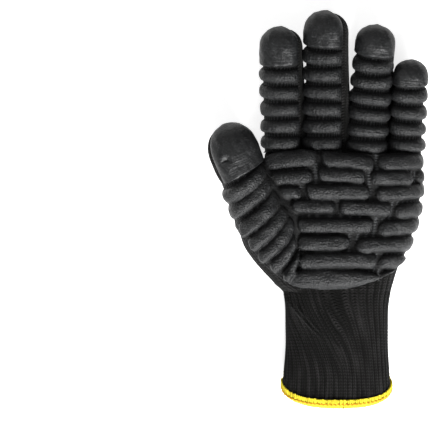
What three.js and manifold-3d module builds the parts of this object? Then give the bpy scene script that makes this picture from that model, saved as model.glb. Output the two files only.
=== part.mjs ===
// Anti-vibration work glove for a left hand, lying on its back with the palm up.
// A hollow knitted liner (ribbed cuff, hand, five stalls) carries a moulded foam rubber coating:
// a thin film over the palm with rounded pads on it, and a ribbed half sleeve with a cap on each finger.
// A bound hem closes the edge of the cuff.
// Millimetres. x runs from the thumb to the little finger, y from the cuff to the fingertips, z up.
// The glove is drawn with the middle of the wrist at x = 0, y = 0 and the surface that it lies on at z = 0.

import * as THREE from "three";
import { mergeVertices } from "three/addons/utils/BufferGeometryUtils.js";
import Module from "manifold-3d";

const wasm = await Module();
wasm.setup();

// Driving sizes
const CLEARANCE = 0.3; // between pieces that touch
const KNIT_WALL = 1.8;
const FILM_THICKNESS = 1.1;
const PRESS_DEPTH = 2; // how far the soft back is flattened by the surface

const CUFF_LENGTH = 61; // wrist line to the knitted edge, at the sides
const CUFF_WIDTH = 67;
const CUFF_HEIGHT = 30;
const CUFF_BOW = 12.3; // how much further the edge reaches on the palm side
const CUFF_RIBS = 36;
const CUFF_RIB_DEPTH = 0.9;
const HEM_WIDTH = 6;
const HEM_WALL = 1.5;

const FINGER_LENGTH = 90.5; // of the middle finger
const FINGER_WIDTH = 24.2; // of the middle finger
const FINGER_DEPTH = 0.84; // height of a finger as a share of its width
const FINGER_GAP = 3; // widest opening between the coatings of two fingers at their roots
const FINGER_RISE = 1.3; // height of a finger's underside above the surface, at its root
const FINGER_CURL = 17; // degrees that a finger turns up between its root and its tip
const FINGER_RIB_PITCH = 11.4;
const FINGER_RIB_HEIGHT = 4.4;

const PALM_LENGTH = 93; // wrist line to the roots of the fingers
const PALM_RISE = 6.6; // how much higher the palm is than a finger
const PALM_PAD_HEIGHT = 5.2;
const PALM_PAD_WIDTH = 10.2;

const THUMB_LENGTH = 27.8; // of the stall beyond the hand
const THUMB_WIDTH = 26;
const THUMB_GAP = 9.6; // between the knits of the thumb's tip and the index finger
const THUMB_LEAN = 12; // degrees that the thumb's sections lean back
const THUMB_ROLL = 12; // degrees that the thumb's coating is turned towards the fingers
const THENAR_HEIGHT = 27;
const STRIP_WIDTH = 9.6;
const STRIP_BEND = 0.5; // sections that the finger end of a strip bends forward
const CAP_HEIGHT = 3.6;

// Shapes of the sections
const UPPER_ROUNDNESS = 2.4; // exponent above a section's widest line, 2 is an ellipse
const LOWER_ROUNDNESS = 2.7;
const DOME_ROUNDNESS = 2.5;
const WIDEST_LINE = 0.46; // height of a section's widest line, as a share of its height
const BOW_ROUNDNESS = 0.8; // how square the bow of the cuff's edge is
const BOW_BEHIND = 0.3; // bow behind the hand, as a share of the bow in front

const HAND_SIDES = 20;
const THUMB_SIDES = 14;
const FINGER_SIDES = 12;

const radians = THREE.MathUtils.degToRad;
const lerp = THREE.MathUtils.lerp;
const clamp = THREE.MathUtils.clamp;
const signedPower = (value, power) => Math.sign(value) * Math.abs(value) ** power;

// length, width: shares of FINGER_LENGTH and FINGER_WIDTH. cap: share of its own length.
// gap: opening towards the finger before it, as a share of FINGER_GAP.
// taper: width at the tip, as a share of the width at the root.
// yaw, roll: degrees, yaw turns the finger away from the thumb and roll turns its coating to the thumb.
const FINGERS = [
  { name: "index", gap: 0, length: 0.885, width: 0.93, taper: 1.0, cap: 0.28, yaw: -0.9, roll: 13 },
  { name: "middle", gap: 0.65, length: 1.0, width: 1.0, taper: 0.98, cap: 0.227, yaw: 0.2, roll: 18 },
  { name: "ring", gap: 0.12, length: 0.9, width: 0.95, taper: 0.93, cap: 0.215, yaw: 4.4, roll: 3 },
  { name: "little", gap: 0.78, length: 0.647, width: 0.78, taper: 0.96, cap: 0.248, yaw: 2.8, roll: -2 },
].map((row) => ({
  ...row,
  length: row.length * FINGER_LENGTH,
  cap: row.cap * row.length * FINGER_LENGTH,
  halfWidth: (row.width * FINGER_WIDTH) / 2,
  ribs: Math.round((row.length * (1 - row.cap) * FINGER_LENGTH) / FINGER_RIB_PITCH),
}));

// The roots stand side by side, far enough apart for both coatings.
FINGERS.forEach((finger, i) => {
  const before = FINGERS[i - 1];
  const apart = 2 * (CLEARANCE + FILM_THICKNESS) + finger.gap * FINGER_GAP;
  finger.place = before ? before.place + before.halfWidth + apart + finger.halfWidth : finger.halfWidth;
});
const ROOT_ROW = FINGERS.at(-1).place + FINGERS.at(-1).halfWidth;
const THUMB_SIDE = 0.457; // share of the row of roots that lies on the thumb's side of the wrist's middle
FINGERS.forEach((finger) => {
  finger.root = finger.place - THUMB_SIDE * ROOT_ROW;
});

const PALM_FIT = 0.985; // what the palm's sections are shares of, as a share of the row of roots
const PALM_WIDTH = PALM_FIT * ROOT_ROW;
const PALM_HEIGHT = FINGER_WIDTH * FINGER_DEPTH + PALM_RISE;
const THUMB_SPREAD = THUMB_SIDE * ROOT_ROW + THUMB_GAP + THUMB_WIDTH / 2; // wrist's middle to thumb's tip

// Sections of the cuff, from the hem to the wrist.
// along: share of CUFF_LENGTH. left, right: shares of CUFF_WIDTH. top: share of CUFF_HEIGHT.
// bow: share of CUFF_BOW. lie: height above the surface, as a share of the hem's wall and its clearance.
const CUFF_SECTIONS = [
  { along: -1.0, left: -0.525, right: 0.53, top: 1.0, bow: 1.0, lie: 1 },
  { along: -0.42, left: -0.496, right: 0.5, top: 0.96, bow: 0, lie: 0 },
  { along: 0.0, left: -0.515, right: 0.51, top: 0.93, bow: 0, lie: 0 },
];

// Sections of the hand without its thumb, from just above the wrist to the finger roots.
// along: share of PALM_LENGTH. left, right: shares of PALM_WIDTH. top: share of PALM_HEIGHT.
const PALM_SECTIONS = [
  { along: 0.09, left: -0.36, right: 0.36, top: 1.02 },
  { along: 0.25, left: -0.365, right: 0.415, top: 1.03 },
  { along: 0.43, left: -0.375, right: 0.484, top: 1.0 },
  { along: 0.62, left: -0.415, right: 0.528, top: 0.99 },
  { along: 0.83, left: -0.465, right: 0.538, top: 0.96 },
  { along: 1.0, left: -0.474, right: 0.533, top: 0.87 },
];

// Sections of the ball of the thumb and the thumb, from the wrist to the root of the tip's dome.
// side: share of THUMB_SPREAD. along: share of PALM_LENGTH. reach: share of THUMB_LENGTH, added to along.
// width: share of THUMB_WIDTH. turn: degrees in plan. top, low: shares of THENAR_HEIGHT.
const THUMB_SECTIONS = [
  { side: 0.28, along: -0.035, reach: 0, width: 0.9, turn: 13, top: 0.92, low: -0.05 },
  { side: 0.46, along: 0.152, reach: 0, width: 0.88, turn: 44, top: 0.97, low: -0.06 },
  { side: 0.515, along: 0.293, reach: 0, width: 1.34, turn: 40, top: 1.03, low: -0.06 },
  { side: 0.56, along: 0.41, reach: 0, width: 1.7, turn: 41, top: 1.07, low: -0.05 },
  { side: 0.635, along: 0.507, reach: 0, width: 1.75, turn: 41, top: 1.09, low: -0.02 },
  { side: 0.705, along: 0.598, reach: 0, width: 1.5, turn: 37, top: 1.09, low: 0.03 },
  { side: 0.785, along: 0.715, reach: 0, width: 1.24, turn: 35, top: 1.1, low: 0.1 },
  { side: 0.862, along: 0.809, reach: 0, width: 1.08, turn: 33, top: 1.13, low: 0.2 },
  { side: 0.91, along: 0.873, reach: 0, width: 1.0, turn: 31, top: 1.16, low: 0.27 },
  { side: 0.97, along: 0.873, reach: 0.45, width: 1.08, turn: 18, top: 1.22, low: 0.38 },
];
const THUMB_CUT = 8; // the section where the stall leaves the hand
const DOME_ANGLES = [32, 58, 80]; // degrees from a dome's root towards its tip, for its sections
const STUB_LENGTH = 10; // how far a stall's hollow reaches back into the hand

// Pads of the palm. from, to: shares of PALM_WIDTH. swell: share of PALM_PAD_WIDTH.
// row, slant: shares of PALM_LENGTH, at the thumb side and how much further along the other end lies.
// arch: how much further along the middle lies. lens: share of the width lost at the ends.
// A pad that reaches the edge wraps round it.
const PALM_PADS = [
  { row: 0.905, slant: 0.05, from: -0.47, to: -0.13, swell: 1.02 },
  { row: 0.95, slant: -0.045, from: -0.1, to: 0.22, swell: 0.95 },
  { row: 0.92, slant: 0.02, from: 0.25, to: 0.6, swell: 0.92 },
  { row: 0.805, slant: 0.03, from: -0.45, to: -0.15, swell: 0.92 },
  { row: 0.85, slant: -0.02, from: -0.12, to: 0.17, swell: 0.92 },
  { row: 0.82, slant: 0.0, from: 0.205, to: 0.46, swell: 0.92 },
  { row: 0.835, slant: 0.0, from: 0.5, to: 0.6, swell: 0.9 },
  { row: 0.715, slant: 0.005, from: -0.4, to: -0.22, swell: 0.85 },
  { row: 0.725, slant: -0.005, from: -0.19, to: 0.2, swell: 0.98 },
  { row: 0.705, slant: 0.045, from: 0.235, to: 0.6, swell: 0.95 },
  { row: 0.62, slant: 0.0, from: -0.27, to: -0.01, swell: 0.85 },
  { row: 0.615, slant: -0.015, from: 0.01, to: 0.33, swell: 0.95 },
  { row: 0.585, slant: 0.025, from: 0.355, to: 0.6, swell: 0.95 },
  { row: 0.487, slant: 0.0, from: -0.235, to: 0.22, swell: 0.95 },
  { row: 0.465, slant: 0.035, from: 0.25, to: 0.6, swell: 1.0 },
  { row: 0.365, slant: 0.0, from: -0.235, to: 0.076, swell: 0.98 },
  { row: 0.35, slant: 0.012, from: 0.11, to: 0.6, swell: 0.98 },
  { row: 0.232, slant: 0.0, from: -0.225, to: 0.235, swell: 1.0, arch: 0.015 },
  { row: 0.225, slant: 0.006, from: 0.25, to: 0.6, swell: 0.95 },
  { row: 0.1, slant: 0.01, from: -0.3, to: 0.245, swell: 1.4, lens: 0.5 },
];
const WRAP_ANGLE = 104; // degrees from the top at which a wrapped pad ends

// Strips on the ball of the thumb. section: the thumb's section that it lies on.
// from, to: shares of that section's width from the thumb side. swell: share of STRIP_WIDTH.
const STRIPS = [
  { section: 1, from: 0.34, to: 0.8, swell: 0.95 },
  { section: 2, from: 0.22, to: 0.8, swell: 0.95 },
  { section: 3, from: 0.19, to: 0.76, swell: 1.0 },
  { section: 4, from: 0.17, to: 0.78, swell: 1.0 },
  { section: 5, from: 0.13, to: 0.82, swell: 1.0 },
  { section: 6, from: 0.05, to: 0.9, swell: 1.0 },
  { section: 7, from: 0.0, to: 0.96, swell: 1.0 },
];

// Edge of the film in plan. x: share of PALM_WIDTH. y: share of PALM_LENGTH.
const FILM_EDGE = [
  { x: -0.95, y: 0.7 },
  { x: -0.7, y: 0.58 },
  { x: -0.635, y: 0.515 },
  { x: -0.57, y: 0.388 },
  { x: -0.486, y: 0.262 },
  { x: -0.42, y: 0.178 },
  { x: -0.31, y: 0.075 },
  { x: -0.245, y: 0.035 },
  { x: -0.1, y: 0.012 },
  { x: 0.06, y: 0.018 },
  { x: 0.22, y: 0.06 },
  { x: 0.31, y: 0.1 },
  { x: 0.37, y: 0.16 },
  { x: 0.7, y: 0.28 },
  { x: 0.7, y: 1.0 },
  { x: -0.95, y: 1.0 },
];
const FILM_LOW = 0.3; // height of the film's lower edge along the side of the hand, as a share of PALM_HEIGHT
const FAR = 400; // larger than the glove, for half spaces

const PAD_STEP = 42; // degrees between the sections along a pad
const LEAST_STEP = 0.05; // share of a pad's length between two of its sections
// Profile across a pad: across runs over its half width, lift over its height.
const PAD_PROFILE = [
  { across: -1, lift: 0 },
  { across: -0.76, lift: 0.8 },
  { across: 0, lift: 1.05 },
  { across: 0.76, lift: 0.8 },
  { across: 1, lift: 0 },
];
// End of a pad: in runs over its half width from the tip of the pad, girth and rise scale the profile.
const PAD_END = [
  { in: 0, girth: 0.5, rise: 0.45 },
  { in: 0.75, girth: 1, rise: 1 },
];
const LONGEST_END = 0.45; // share of a pad's length that an end may take
// Height of a finger's coating over one rib's pitch.
const RIB_PROFILE = [
  { along: 0.09, rise: 0 },
  { along: 0.24, rise: 0.88 },
  { along: 0.76, rise: 0.88 },
  { along: 0.91, rise: 0 },
];
// Height of a finger's coating across the finger, at steps of one of its sides from edge to edge.
const SLEEVE_PROFILE = [0, 0.62, 0.92, 1, 0.92, 0.62, 0];
// Height of a cap from its lower edge to the root of the fingertip's dome. along: share of that way.
const CAP_PROFILE = [
  { along: 0.0, rise: 0.1 },
  { along: 0.12, rise: 0.85 },
  { along: 0.6, rise: 1 },
];
const DOME_RISE = 0.85; // height of a cap over the tip's dome, as a share of CAP_HEIGHT

// Solids

function solidOf(geometry) {
  const bare = geometry.clone();
  bare.deleteAttribute("normal");
  bare.deleteAttribute("uv");
  const merged = mergeVertices(bare);
  return new wasm.Manifold(
    new wasm.Mesh({
      numProp: 3,
      vertProperties: new Float32Array(merged.attributes.position.array),
      triVerts: new Uint32Array(merged.index.array),
    }),
  );
}

function geometryOf(solid) {
  const mesh = solid.getMesh();
  const geometry = new THREE.BufferGeometry();
  geometry.setAttribute("position", new THREE.BufferAttribute(new Float32Array(mesh.vertProperties), 3));
  geometry.setIndex(new THREE.BufferAttribute(new Uint32Array(mesh.triVerts), 1));
  geometry.computeVertexNormals();
  return geometry;
}

function signedVolume(points, triangles) {
  let sum = 0;
  for (let i = 0; i < triangles.length; i += 3) {
    const [a, b, c] = [points[triangles[i]], points[triangles[i + 1]], points[triangles[i + 2]]];
    sum += a.dot(b.clone().cross(c));
  }
  return sum / 6;
}

// A closed solid through rings of equal length. Open ends are closed by fans, and a closed loft has none.
function loft(rings, closed = false) {
  const sides = rings[0].length;
  const points = rings.flat();
  const triangles = [];
  const bands = closed ? rings.length : rings.length - 1;
  for (let i = 0; i < bands; i++) {
    const here = i * sides;
    const next = ((i + 1) % rings.length) * sides;
    for (let j = 0; j < sides; j++) {
      const k = (j + 1) % sides;
      triangles.push(here + j, here + k, next + k, here + j, next + k, next + j);
    }
  }
  if (!closed) {
    for (const [start, flip] of [[0, true], [(rings.length - 1) * sides, false]]) {
      const middle = points.slice(start, start + sides).reduce((sum, p) => sum.add(p), new THREE.Vector3());
      points.push(middle.divideScalar(sides));
      for (let j = 0; j < sides; j++) {
        const pair = [start + j, start + ((j + 1) % sides)];
        triangles.push(points.length - 1, ...(flip ? pair.reverse() : pair));
      }
    }
  }
  if (signedVolume(points, triangles) < 0) triangles.reverse();
  return new wasm.Manifold(
    new wasm.Mesh({
      numProp: 3,
      vertProperties: new Float32Array(points.flatMap((p) => p.toArray())),
      triVerts: new Uint32Array(triangles),
    }),
  );
}

const unionOf = (solids) => solids.reduce((sum, solid) => sum.add(solid));

// The half space beyond a vertical plane through a point, on the side that direction points to.
function beyond(point, direction) {
  const box = new THREE.BoxGeometry(FAR, FAR, FAR);
  box.translate(0, FAR / 2, 0);
  box.rotateZ(Math.atan2(direction.y, direction.x) - Math.PI / 2);
  box.translate(point.x, point.y, 0);
  return solidOf(box);
}

// Sections

// A point of a section, from its middle. turn is 0 at the top and positive towards the little finger.
function sectionPoint(section, turn, lift) {
  const sine = Math.sin(turn);
  const cosine = Math.cos(turn);
  const roundness = cosine > 0 ? UPPER_ROUNDNESS : LOWER_ROUNDNESS;
  const rise = cosine > 0 ? section.rise : section.drop;
  return {
    across: (section.halfWidth + lift) * signedPower(sine, 2 / roundness),
    up: (rise + lift) * signedPower(cosine, 2 / roundness),
  };
}

// Width of a tip's round dome at a share of its length.
const domeShrink = (ahead) => (1 - ahead ** DOME_ROUNDNESS) ** (1 / DOME_ROUNDNESS);

// The table rows between which a value lies, and the share of the way between them.
function between(rows, key, value) {
  let i = rows.findIndex((row) => row[key] >= value);
  i = i < 0 ? rows.length - 1 : Math.max(i, 1);
  const [low, high] = [rows[i - 1], rows[i]];
  return { low, high, share: (value - low[key]) / (high[key] - low[key]) };
}

const blendRows = ({ low, high, share }) =>
  Object.fromEntries(Object.keys(low).map((key) => [key, lerp(low[key], high[key], share)]));

function handRow(y, left, right, top, bow = 0, lie = 0) {
  const line = top * WIDEST_LINE;
  return {
    y,
    middle: (left + right) / 2,
    halfWidth: (right - left) / 2,
    line,
    rise: top - line,
    drop: line + PRESS_DEPTH,
    bow,
    lie,
  };
}

const cuffRows = CUFF_SECTIONS.map(({ along, left, right, top, bow, lie }) =>
  handRow(
    along * CUFF_LENGTH,
    left * CUFF_WIDTH,
    right * CUFF_WIDTH,
    top * CUFF_HEIGHT,
    bow * CUFF_BOW,
    lie * (HEM_WALL + CLEARANCE),
  ),
);
const palmRows = PALM_SECTIONS.map(({ along, left, right, top }) =>
  handRow(along * PALM_LENGTH, left * PALM_WIDTH, right * PALM_WIDTH, top * PALM_HEIGHT),
);
const handRows = [...cuffRows, ...palmRows];

// How far the cuff's edge is bowed at a turn: fully in front, not at the sides and the other way behind.
function bowAt(turn) {
  const front = Math.cos(turn);
  return front > 0 ? front ** BOW_ROUNDNESS : BOW_BEHIND * front;
}

// The lowest that a face may reach that is lifted off the liner's outer face. A face inside stays above it.
const floorOf = (lift, lie = 0) => Math.max(lie - lift, 0);

// A point of the cuff and hand at y, lifted off the liner's outer face.
function handPoint(y, turn, lift = 0) {
  const row = blendRows(between(handRows, "y", y));
  const { across, up } = sectionPoint(row, turn, lift);
  const height = Math.max(row.line + up, floorOf(lift, row.lie));
  return new THREE.Vector3(row.middle + across, y - row.bow * bowAt(turn), height);
}

function ringOf(sides, pointAt) {
  return Array.from({ length: sides }, (_, j) => pointAt((2 * Math.PI * j) / sides - Math.PI));
}

// A solid of the hand through the given rows, lifted off the liner's outer face.
const handLoft = (rows, lift) =>
  loft(rows.map((row) => ringOf(HAND_SIDES, (turn) => handPoint(row.y, turn, lift))));

// The turn at which the hand is crossed by a given x, or the wrap angle past the edge.
function turnAt(x, y) {
  const row = blendRows(between(handRows, "y", y));
  const share = (x - row.middle) / row.halfWidth;
  if (Math.abs(share) >= 1) return Math.sign(share) * radians(WRAP_ANGLE);
  return Math.asin(signedPower(share, UPPER_ROUNDNESS / 2));
}

// Thumb

const thumbBase = THUMB_SECTIONS.map((s) => ({
  x: -s.side * THUMB_SPREAD,
  y: s.along * PALM_LENGTH + s.reach * THUMB_LENGTH,
  turn: radians(s.turn),
  halfWidth: (s.width * THUMB_WIDTH) / 2,
  line: ((s.top + s.low) * THENAR_HEIGHT) / 2,
  rise: ((s.top - s.low) * THENAR_HEIGHT) / 2,
  ahead: 0,
}));

// The tip's dome continues the last section up to the thumb's length.
const domeRoot = thumbBase.at(-1);
const thumbTip = thumbBase[THUMB_CUT].y + THUMB_LENGTH;
const domeLength = (thumbTip - domeRoot.y) / Math.cos(domeRoot.turn);
const domeRows = DOME_ANGLES.map((angle) => {
  const ahead = Math.sin(radians(angle));
  const shrink = domeShrink(ahead);
  return {
    x: domeRoot.x - ahead * domeLength * Math.sin(domeRoot.turn),
    y: domeRoot.y + ahead * domeLength * Math.cos(domeRoot.turn),
    turn: domeRoot.turn,
    halfWidth: domeRoot.halfWidth * shrink,
    line: domeRoot.line,
    rise: domeRoot.rise * shrink,
    ahead,
  };
});
const thumbRows = [...thumbBase, ...domeRows].map((row, order) => ({ ...row, order }));

function thumbPoint(order, turn, lift = 0) {
  const row = blendRows(between(thumbRows, "order", order));
  const round = domeShrink(row.ahead);
  const { across, up } = sectionPoint({ ...row, drop: row.rise }, turn, lift * round);
  const back = up * Math.sin(radians(THUMB_LEAN)) - lift * row.ahead;
  return new THREE.Vector3(
    row.x + across * Math.cos(row.turn) + back * Math.sin(row.turn),
    row.y + across * Math.sin(row.turn) - back * Math.cos(row.turn),
    Math.max(row.line + up * Math.cos(radians(THUMB_LEAN)), floorOf(lift)),
  );
}

const thumbLoft = (lift) =>
  loft(thumbRows.map((row) => ringOf(THUMB_SIDES, (turn) => thumbPoint(row.order, turn, lift))));

const thumbCutRow = thumbRows[THUMB_CUT];
const thumbWay = new THREE.Vector3(-Math.sin(thumbCutRow.turn), Math.cos(thumbCutRow.turn), 0);
const thumbCutPoint = new THREE.Vector3(thumbCutRow.x, thumbCutRow.y, 0);
const pastThumbCut = (gap) => beyond(thumbCutPoint.clone().addScaledVector(thumbWay, gap), thumbWay);

// Fingers

// The frame of a finger at a distance s from its root: its axis point, its sideways and its palm directions.
function fingerFrame(finger, s) {
  const steps = 24;
  const yaw = radians(finger.yaw);
  const height = FINGER_RISE + finger.halfWidth * FINGER_DEPTH;
  const point = new THREE.Vector3(finger.root, PALM_LENGTH, height);
  const reach = Math.max(s, 0);
  const way = (d) => {
    const pitch = radians(FINGER_CURL) * (d / finger.length);
    const level = Math.cos(pitch);
    return new THREE.Vector3(Math.sin(yaw) * level, Math.cos(yaw) * level, Math.sin(pitch));
  };
  for (let i = 0; i < steps; i++) point.addScaledVector(way(((i + 0.5) * reach) / steps), reach / steps);
  if (s < 0) point.addScaledVector(way(0), s);
  const ahead = way(reach);
  const side = ahead.clone().cross(new THREE.Vector3(0, 0, 1)).normalize();
  const palm = side.clone().cross(ahead);
  const roll = radians(finger.roll);
  return {
    point,
    ahead,
    side: side.clone().multiplyScalar(Math.cos(roll)).addScaledVector(palm, Math.sin(roll)),
    palm: palm.clone().multiplyScalar(Math.cos(roll)).addScaledVector(side, -Math.sin(roll)),
  };
}

const domeStart = (finger) => finger.length - finger.halfWidth * finger.taper;

// A point of a finger's stall, with a rounded tip, lifted off the liner's outer face.
function fingerPoint(finger, s, turn, lift = 0) {
  const start = domeStart(finger);
  const ahead = clamp((s - start) / (finger.length - start), 0, 1);
  const shrink = domeShrink(ahead);
  const halfWidth = finger.halfWidth * lerp(1, finger.taper, clamp(s / start, 0, 1)) * shrink;
  const height = halfWidth * FINGER_DEPTH;
  const frame = fingerFrame(finger, s);
  const { across, up } = sectionPoint({ halfWidth, rise: height, drop: height }, turn, lift * shrink);
  return frame.point
    .clone()
    .addScaledVector(frame.ahead, lift * ahead)
    .addScaledVector(frame.side, across)
    .addScaledVector(frame.palm, up);
}

// The stations of a dome that starts at one distance along a finger and ends at another.
const domeStations = (start, end) => DOME_ANGLES.map((angle) => lerp(start, end, Math.sin(radians(angle))));

function fingerLoft(finger, lift) {
  const start = domeStart(finger);
  const stations = [-STUB_LENGTH, start / 3, (2 * start) / 3, start, ...domeStations(start, finger.length)];
  return loft(stations.map((s) => ringOf(FINGER_SIDES, (turn) => fingerPoint(finger, s, turn, lift))));
}

const fingerWay = new THREE.Vector3(0, 1, 0);
const past = (y) => beyond(new THREE.Vector3(0, y, 0), fingerWay);
const pastRoots = (gap) => past(PALM_LENGTH + gap);

// Liner

// The cuff's outer face stands out and in by turns, two points for each rib.
function knitCuff() {
  const sides = 2 * CUFF_RIBS;
  const ringAt = (y, liftOf) =>
    Array.from({ length: sides }, (_, j) => handPoint(y, (2 * Math.PI * j) / sides - Math.PI, liftOf(j)));
  const stations = [...cuffRows.slice(0, -1).map((row) => row.y), -CLEARANCE];
  const outer = stations.map((y) => ringAt(y, (j) => (j % 2 ? -CUFF_RIB_DEPTH : 0)));
  const inner = stations.map((y) => ringAt(y, () => -KNIT_WALL));
  return loft([...outer, ...inner.reverse()], true);
}

const linerRows = handRows.slice(cuffRows.length - 1);
const handOuter = (lift) => handLoft(linerRows, lift);
const thumbOuter = thumbLoft(0);
const stallOuter = new Map(FINGERS.map((finger) => [finger.name, fingerLoft(finger, 0)]));
const stallInner = new Map(FINGERS.map((finger) => [finger.name, fingerLoft(finger, -KNIT_WALL)]));

// The hand's hollow starts below the wrist line and leaves a wall between the roots of the fingers.
function handInner() {
  const below = handRows.slice(cuffRows.length - 2);
  return handLoft(below, -KNIT_WALL).subtract(past(PALM_LENGTH - KNIT_WALL));
}

function knitHand() {
  const thumb = thumbOuter.subtract(pastThumbCut(0)).intersect(past(0));
  const inner = unionOf([handInner(), thumbLoft(-KNIT_WALL), ...stallInner.values()]);
  return handOuter(0).add(thumb).subtract(inner);
}

const knitStall = (name) =>
  stallOuter.get(name).subtract(stallInner.get(name)).intersect(pastRoots(CLEARANCE));
const knitThumb = () => thumbOuter.subtract(thumbLoft(-KNIT_WALL)).intersect(pastThumbCut(CLEARANCE));

// Hem: a U that holds the cuff's edge, swept round it.
function cuffHem() {
  const edge = cuffRows[0];
  const out = HEM_WALL + CLEARANCE;
  const inside = -KNIT_WALL - CLEARANCE;
  const section = [
    { lift: CLEARANCE, ahead: HEM_WIDTH },
    { lift: out, ahead: HEM_WIDTH },
    { lift: out, ahead: -HEM_WALL / 2 },
    { lift: inside - HEM_WALL, ahead: -HEM_WALL / 2 },
    { lift: inside - HEM_WALL, ahead: HEM_WIDTH },
    { lift: inside, ahead: HEM_WIDTH },
    { lift: inside, ahead: -CLEARANCE },
    { lift: CLEARANCE, ahead: -CLEARANCE },
  ];
  const rings = ringOf(CUFF_RIBS, (turn) =>
    section.map(({ lift, ahead }) => {
      const point = handPoint(edge.y + Math.max(ahead, 0), turn, lift);
      return point.setY(point.y + Math.min(ahead, 0));
    }),
  );
  return loft(rings, true);
}

// Coating

// A pad along a line on a surface. at(s, turn, lift) gives the surface's points.
// scale turns millimetres across the pad into steps of s.
function pad(at, { s0, s1, turn0, turn1, scale, bend = 0, arch = 0, lens = 0 }, width, height) {
  const ends = (share) => (2 * share - 1) ** 2;
  const along = (share) => lerp(s0, s1, share) + bend * share ** 3 + arch * (1 - ends(share));
  const [start, middle, end] = [0, 0.5, 1].map((share) => at(along(share), lerp(turn0, turn1, share), 0));
  const length = start.distanceTo(middle) + middle.distanceTo(end);
  const inset = Math.min(width / 2, length * LONGEST_END);
  const near = PAD_END.map((stop) => ({ ...stop, share: (stop.in * inset) / length }));
  const far = near.map((stop) => ({ ...stop, share: 1 - stop.share })).reverse();
  const steps = Math.max(1, Math.round((turn1 - turn0) / radians(PAD_STEP)));
  const inner = Array.from({ length: steps - 1 }, (_, i) => ({ share: (i + 1) / steps, girth: 1, rise: 1 }));
  const [first, last] = [near.at(-1).share + LEAST_STEP, far[0].share - LEAST_STEP];
  const kept = inner.filter(({ share }) => share > first && share < last);
  return loft(
    [...near, ...kept, ...far].map(({ share, girth, rise }) =>
      PAD_PROFILE.map(({ across, lift }) =>
        at(
          along(share) + across * girth * (1 - lens * ends(share)) * scale * (width / 2),
          lerp(turn0, turn1, share),
          FILM_THICKNESS / 2 + lift * rise * height,
        ),
      ),
    ),
  );
}

function palmPad({ row, slant, from, to, swell, arch = 0, lens = 0 }) {
  const s0 = row * PALM_LENGTH;
  const s1 = (row + slant) * PALM_LENGTH;
  const turns = { turn0: turnAt(from * PALM_WIDTH, s0), turn1: turnAt(to * PALM_WIDTH, s1) };
  const line = { s0, s1, ...turns, scale: 1, arch: arch * PALM_LENGTH, lens };
  return pad(handPoint, line, PALM_PAD_WIDTH * swell, PALM_PAD_HEIGHT);
}

// The turn at which a section is crossed at a share of its width.
const turnAcross = (share) => Math.asin(signedPower(clamp(2 * share - 1, -1, 1), UPPER_ROUNDNESS / 2));

// A strip lies along its section, so its width is turned from millimetres into section steps.
function thumbStrip({ section, from, to, swell }) {
  const step = thumbPoint(section - 0.5, 0).distanceTo(thumbPoint(section + 0.5, 0));
  const turns = { turn0: turnAcross(from), turn1: turnAcross(to) };
  const line = { s0: section, s1: section, ...turns, scale: 1 / step, bend: STRIP_BEND };
  return pad(thumbPoint, line, STRIP_WIDTH * swell, PALM_PAD_HEIGHT);
}

function filmRegion() {
  const low = FILM_LOW * PALM_HEIGHT;
  const shape = new THREE.Shape(
    FILM_EDGE.map(({ x, y }) => new THREE.Vector2(x * PALM_WIDTH, y * PALM_LENGTH)),
  );
  const geometry = new THREE.ExtrudeGeometry(shape, { depth: FAR, bevelEnabled: false });
  geometry.translate(0, 0, low);
  return solidOf(geometry);
}

// Film and pads on the palm, clear of the thumb's cap.
function palmCoating() {
  const full = CLEARANCE + FILM_THICKNESS;
  const knit = unionOf([handOuter(CLEARANCE), thumbLoft(CLEARANCE)]);
  const film = unionOf([handOuter(full), thumbLoft(full).subtract(pastThumbCut(0))]);
  const cap = thumbLoft(full + CAP_HEIGHT + CLEARANCE).intersect(pastThumbCut(0));
  const pads = PALM_PADS.map(palmPad);
  const strips = STRIPS.map(thumbStrip);
  return unionOf([film, ...pads, ...strips])
    .intersect(filmRegion())
    .subtract(unionOf([knit, cap, pastRoots(0)]));
}

// A half sleeve's profile at one station. at(turn, lift) gives the surface's points, rise is in millimetres.
function sleeveRing(at, sides, rise) {
  const middle = (SLEEVE_PROFILE.length - 1) / 2;
  return SLEEVE_PROFILE.map((share, i) =>
    at(((i - middle) * 2 * Math.PI) / sides, CLEARANCE + FILM_THICKNESS + rise * share),
  );
}

// A half sleeve of film and ribs with a thick cap over the tip.
function fingerSleeve(finger) {
  const capEdge = finger.length - finger.cap;
  const pitch = capEdge / finger.ribs;
  const ribs = Array.from({ length: finger.ribs }, (_, i) =>
    RIB_PROFILE.map(({ along, rise }) => ({ s: (i + along) * pitch, rise: rise * FINGER_RIB_HEIGHT })),
  ).flat();
  const start = domeStart(finger);
  const cap = CAP_PROFILE.map(({ along, rise }) => ({
    s: lerp(capEdge, start, along),
    rise: rise * CAP_HEIGHT,
  }));
  const dome = domeStations(start, finger.length).map((s) => ({ s, rise: DOME_RISE * CAP_HEIGHT }));
  const stations = [{ s: 0, rise: 0 }, ...ribs, ...cap, ...dome];
  const ringAt = (s, rise) =>
    sleeveRing((turn, lift) => fingerPoint(finger, s, turn, lift), FINGER_SIDES, rise);
  const rings = stations.map(({ s, rise }) => ringAt(s, rise));
  return loft(rings).subtract(fingerLoft(finger, CLEARANCE)).intersect(pastRoots(CLEARANCE));
}

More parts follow.
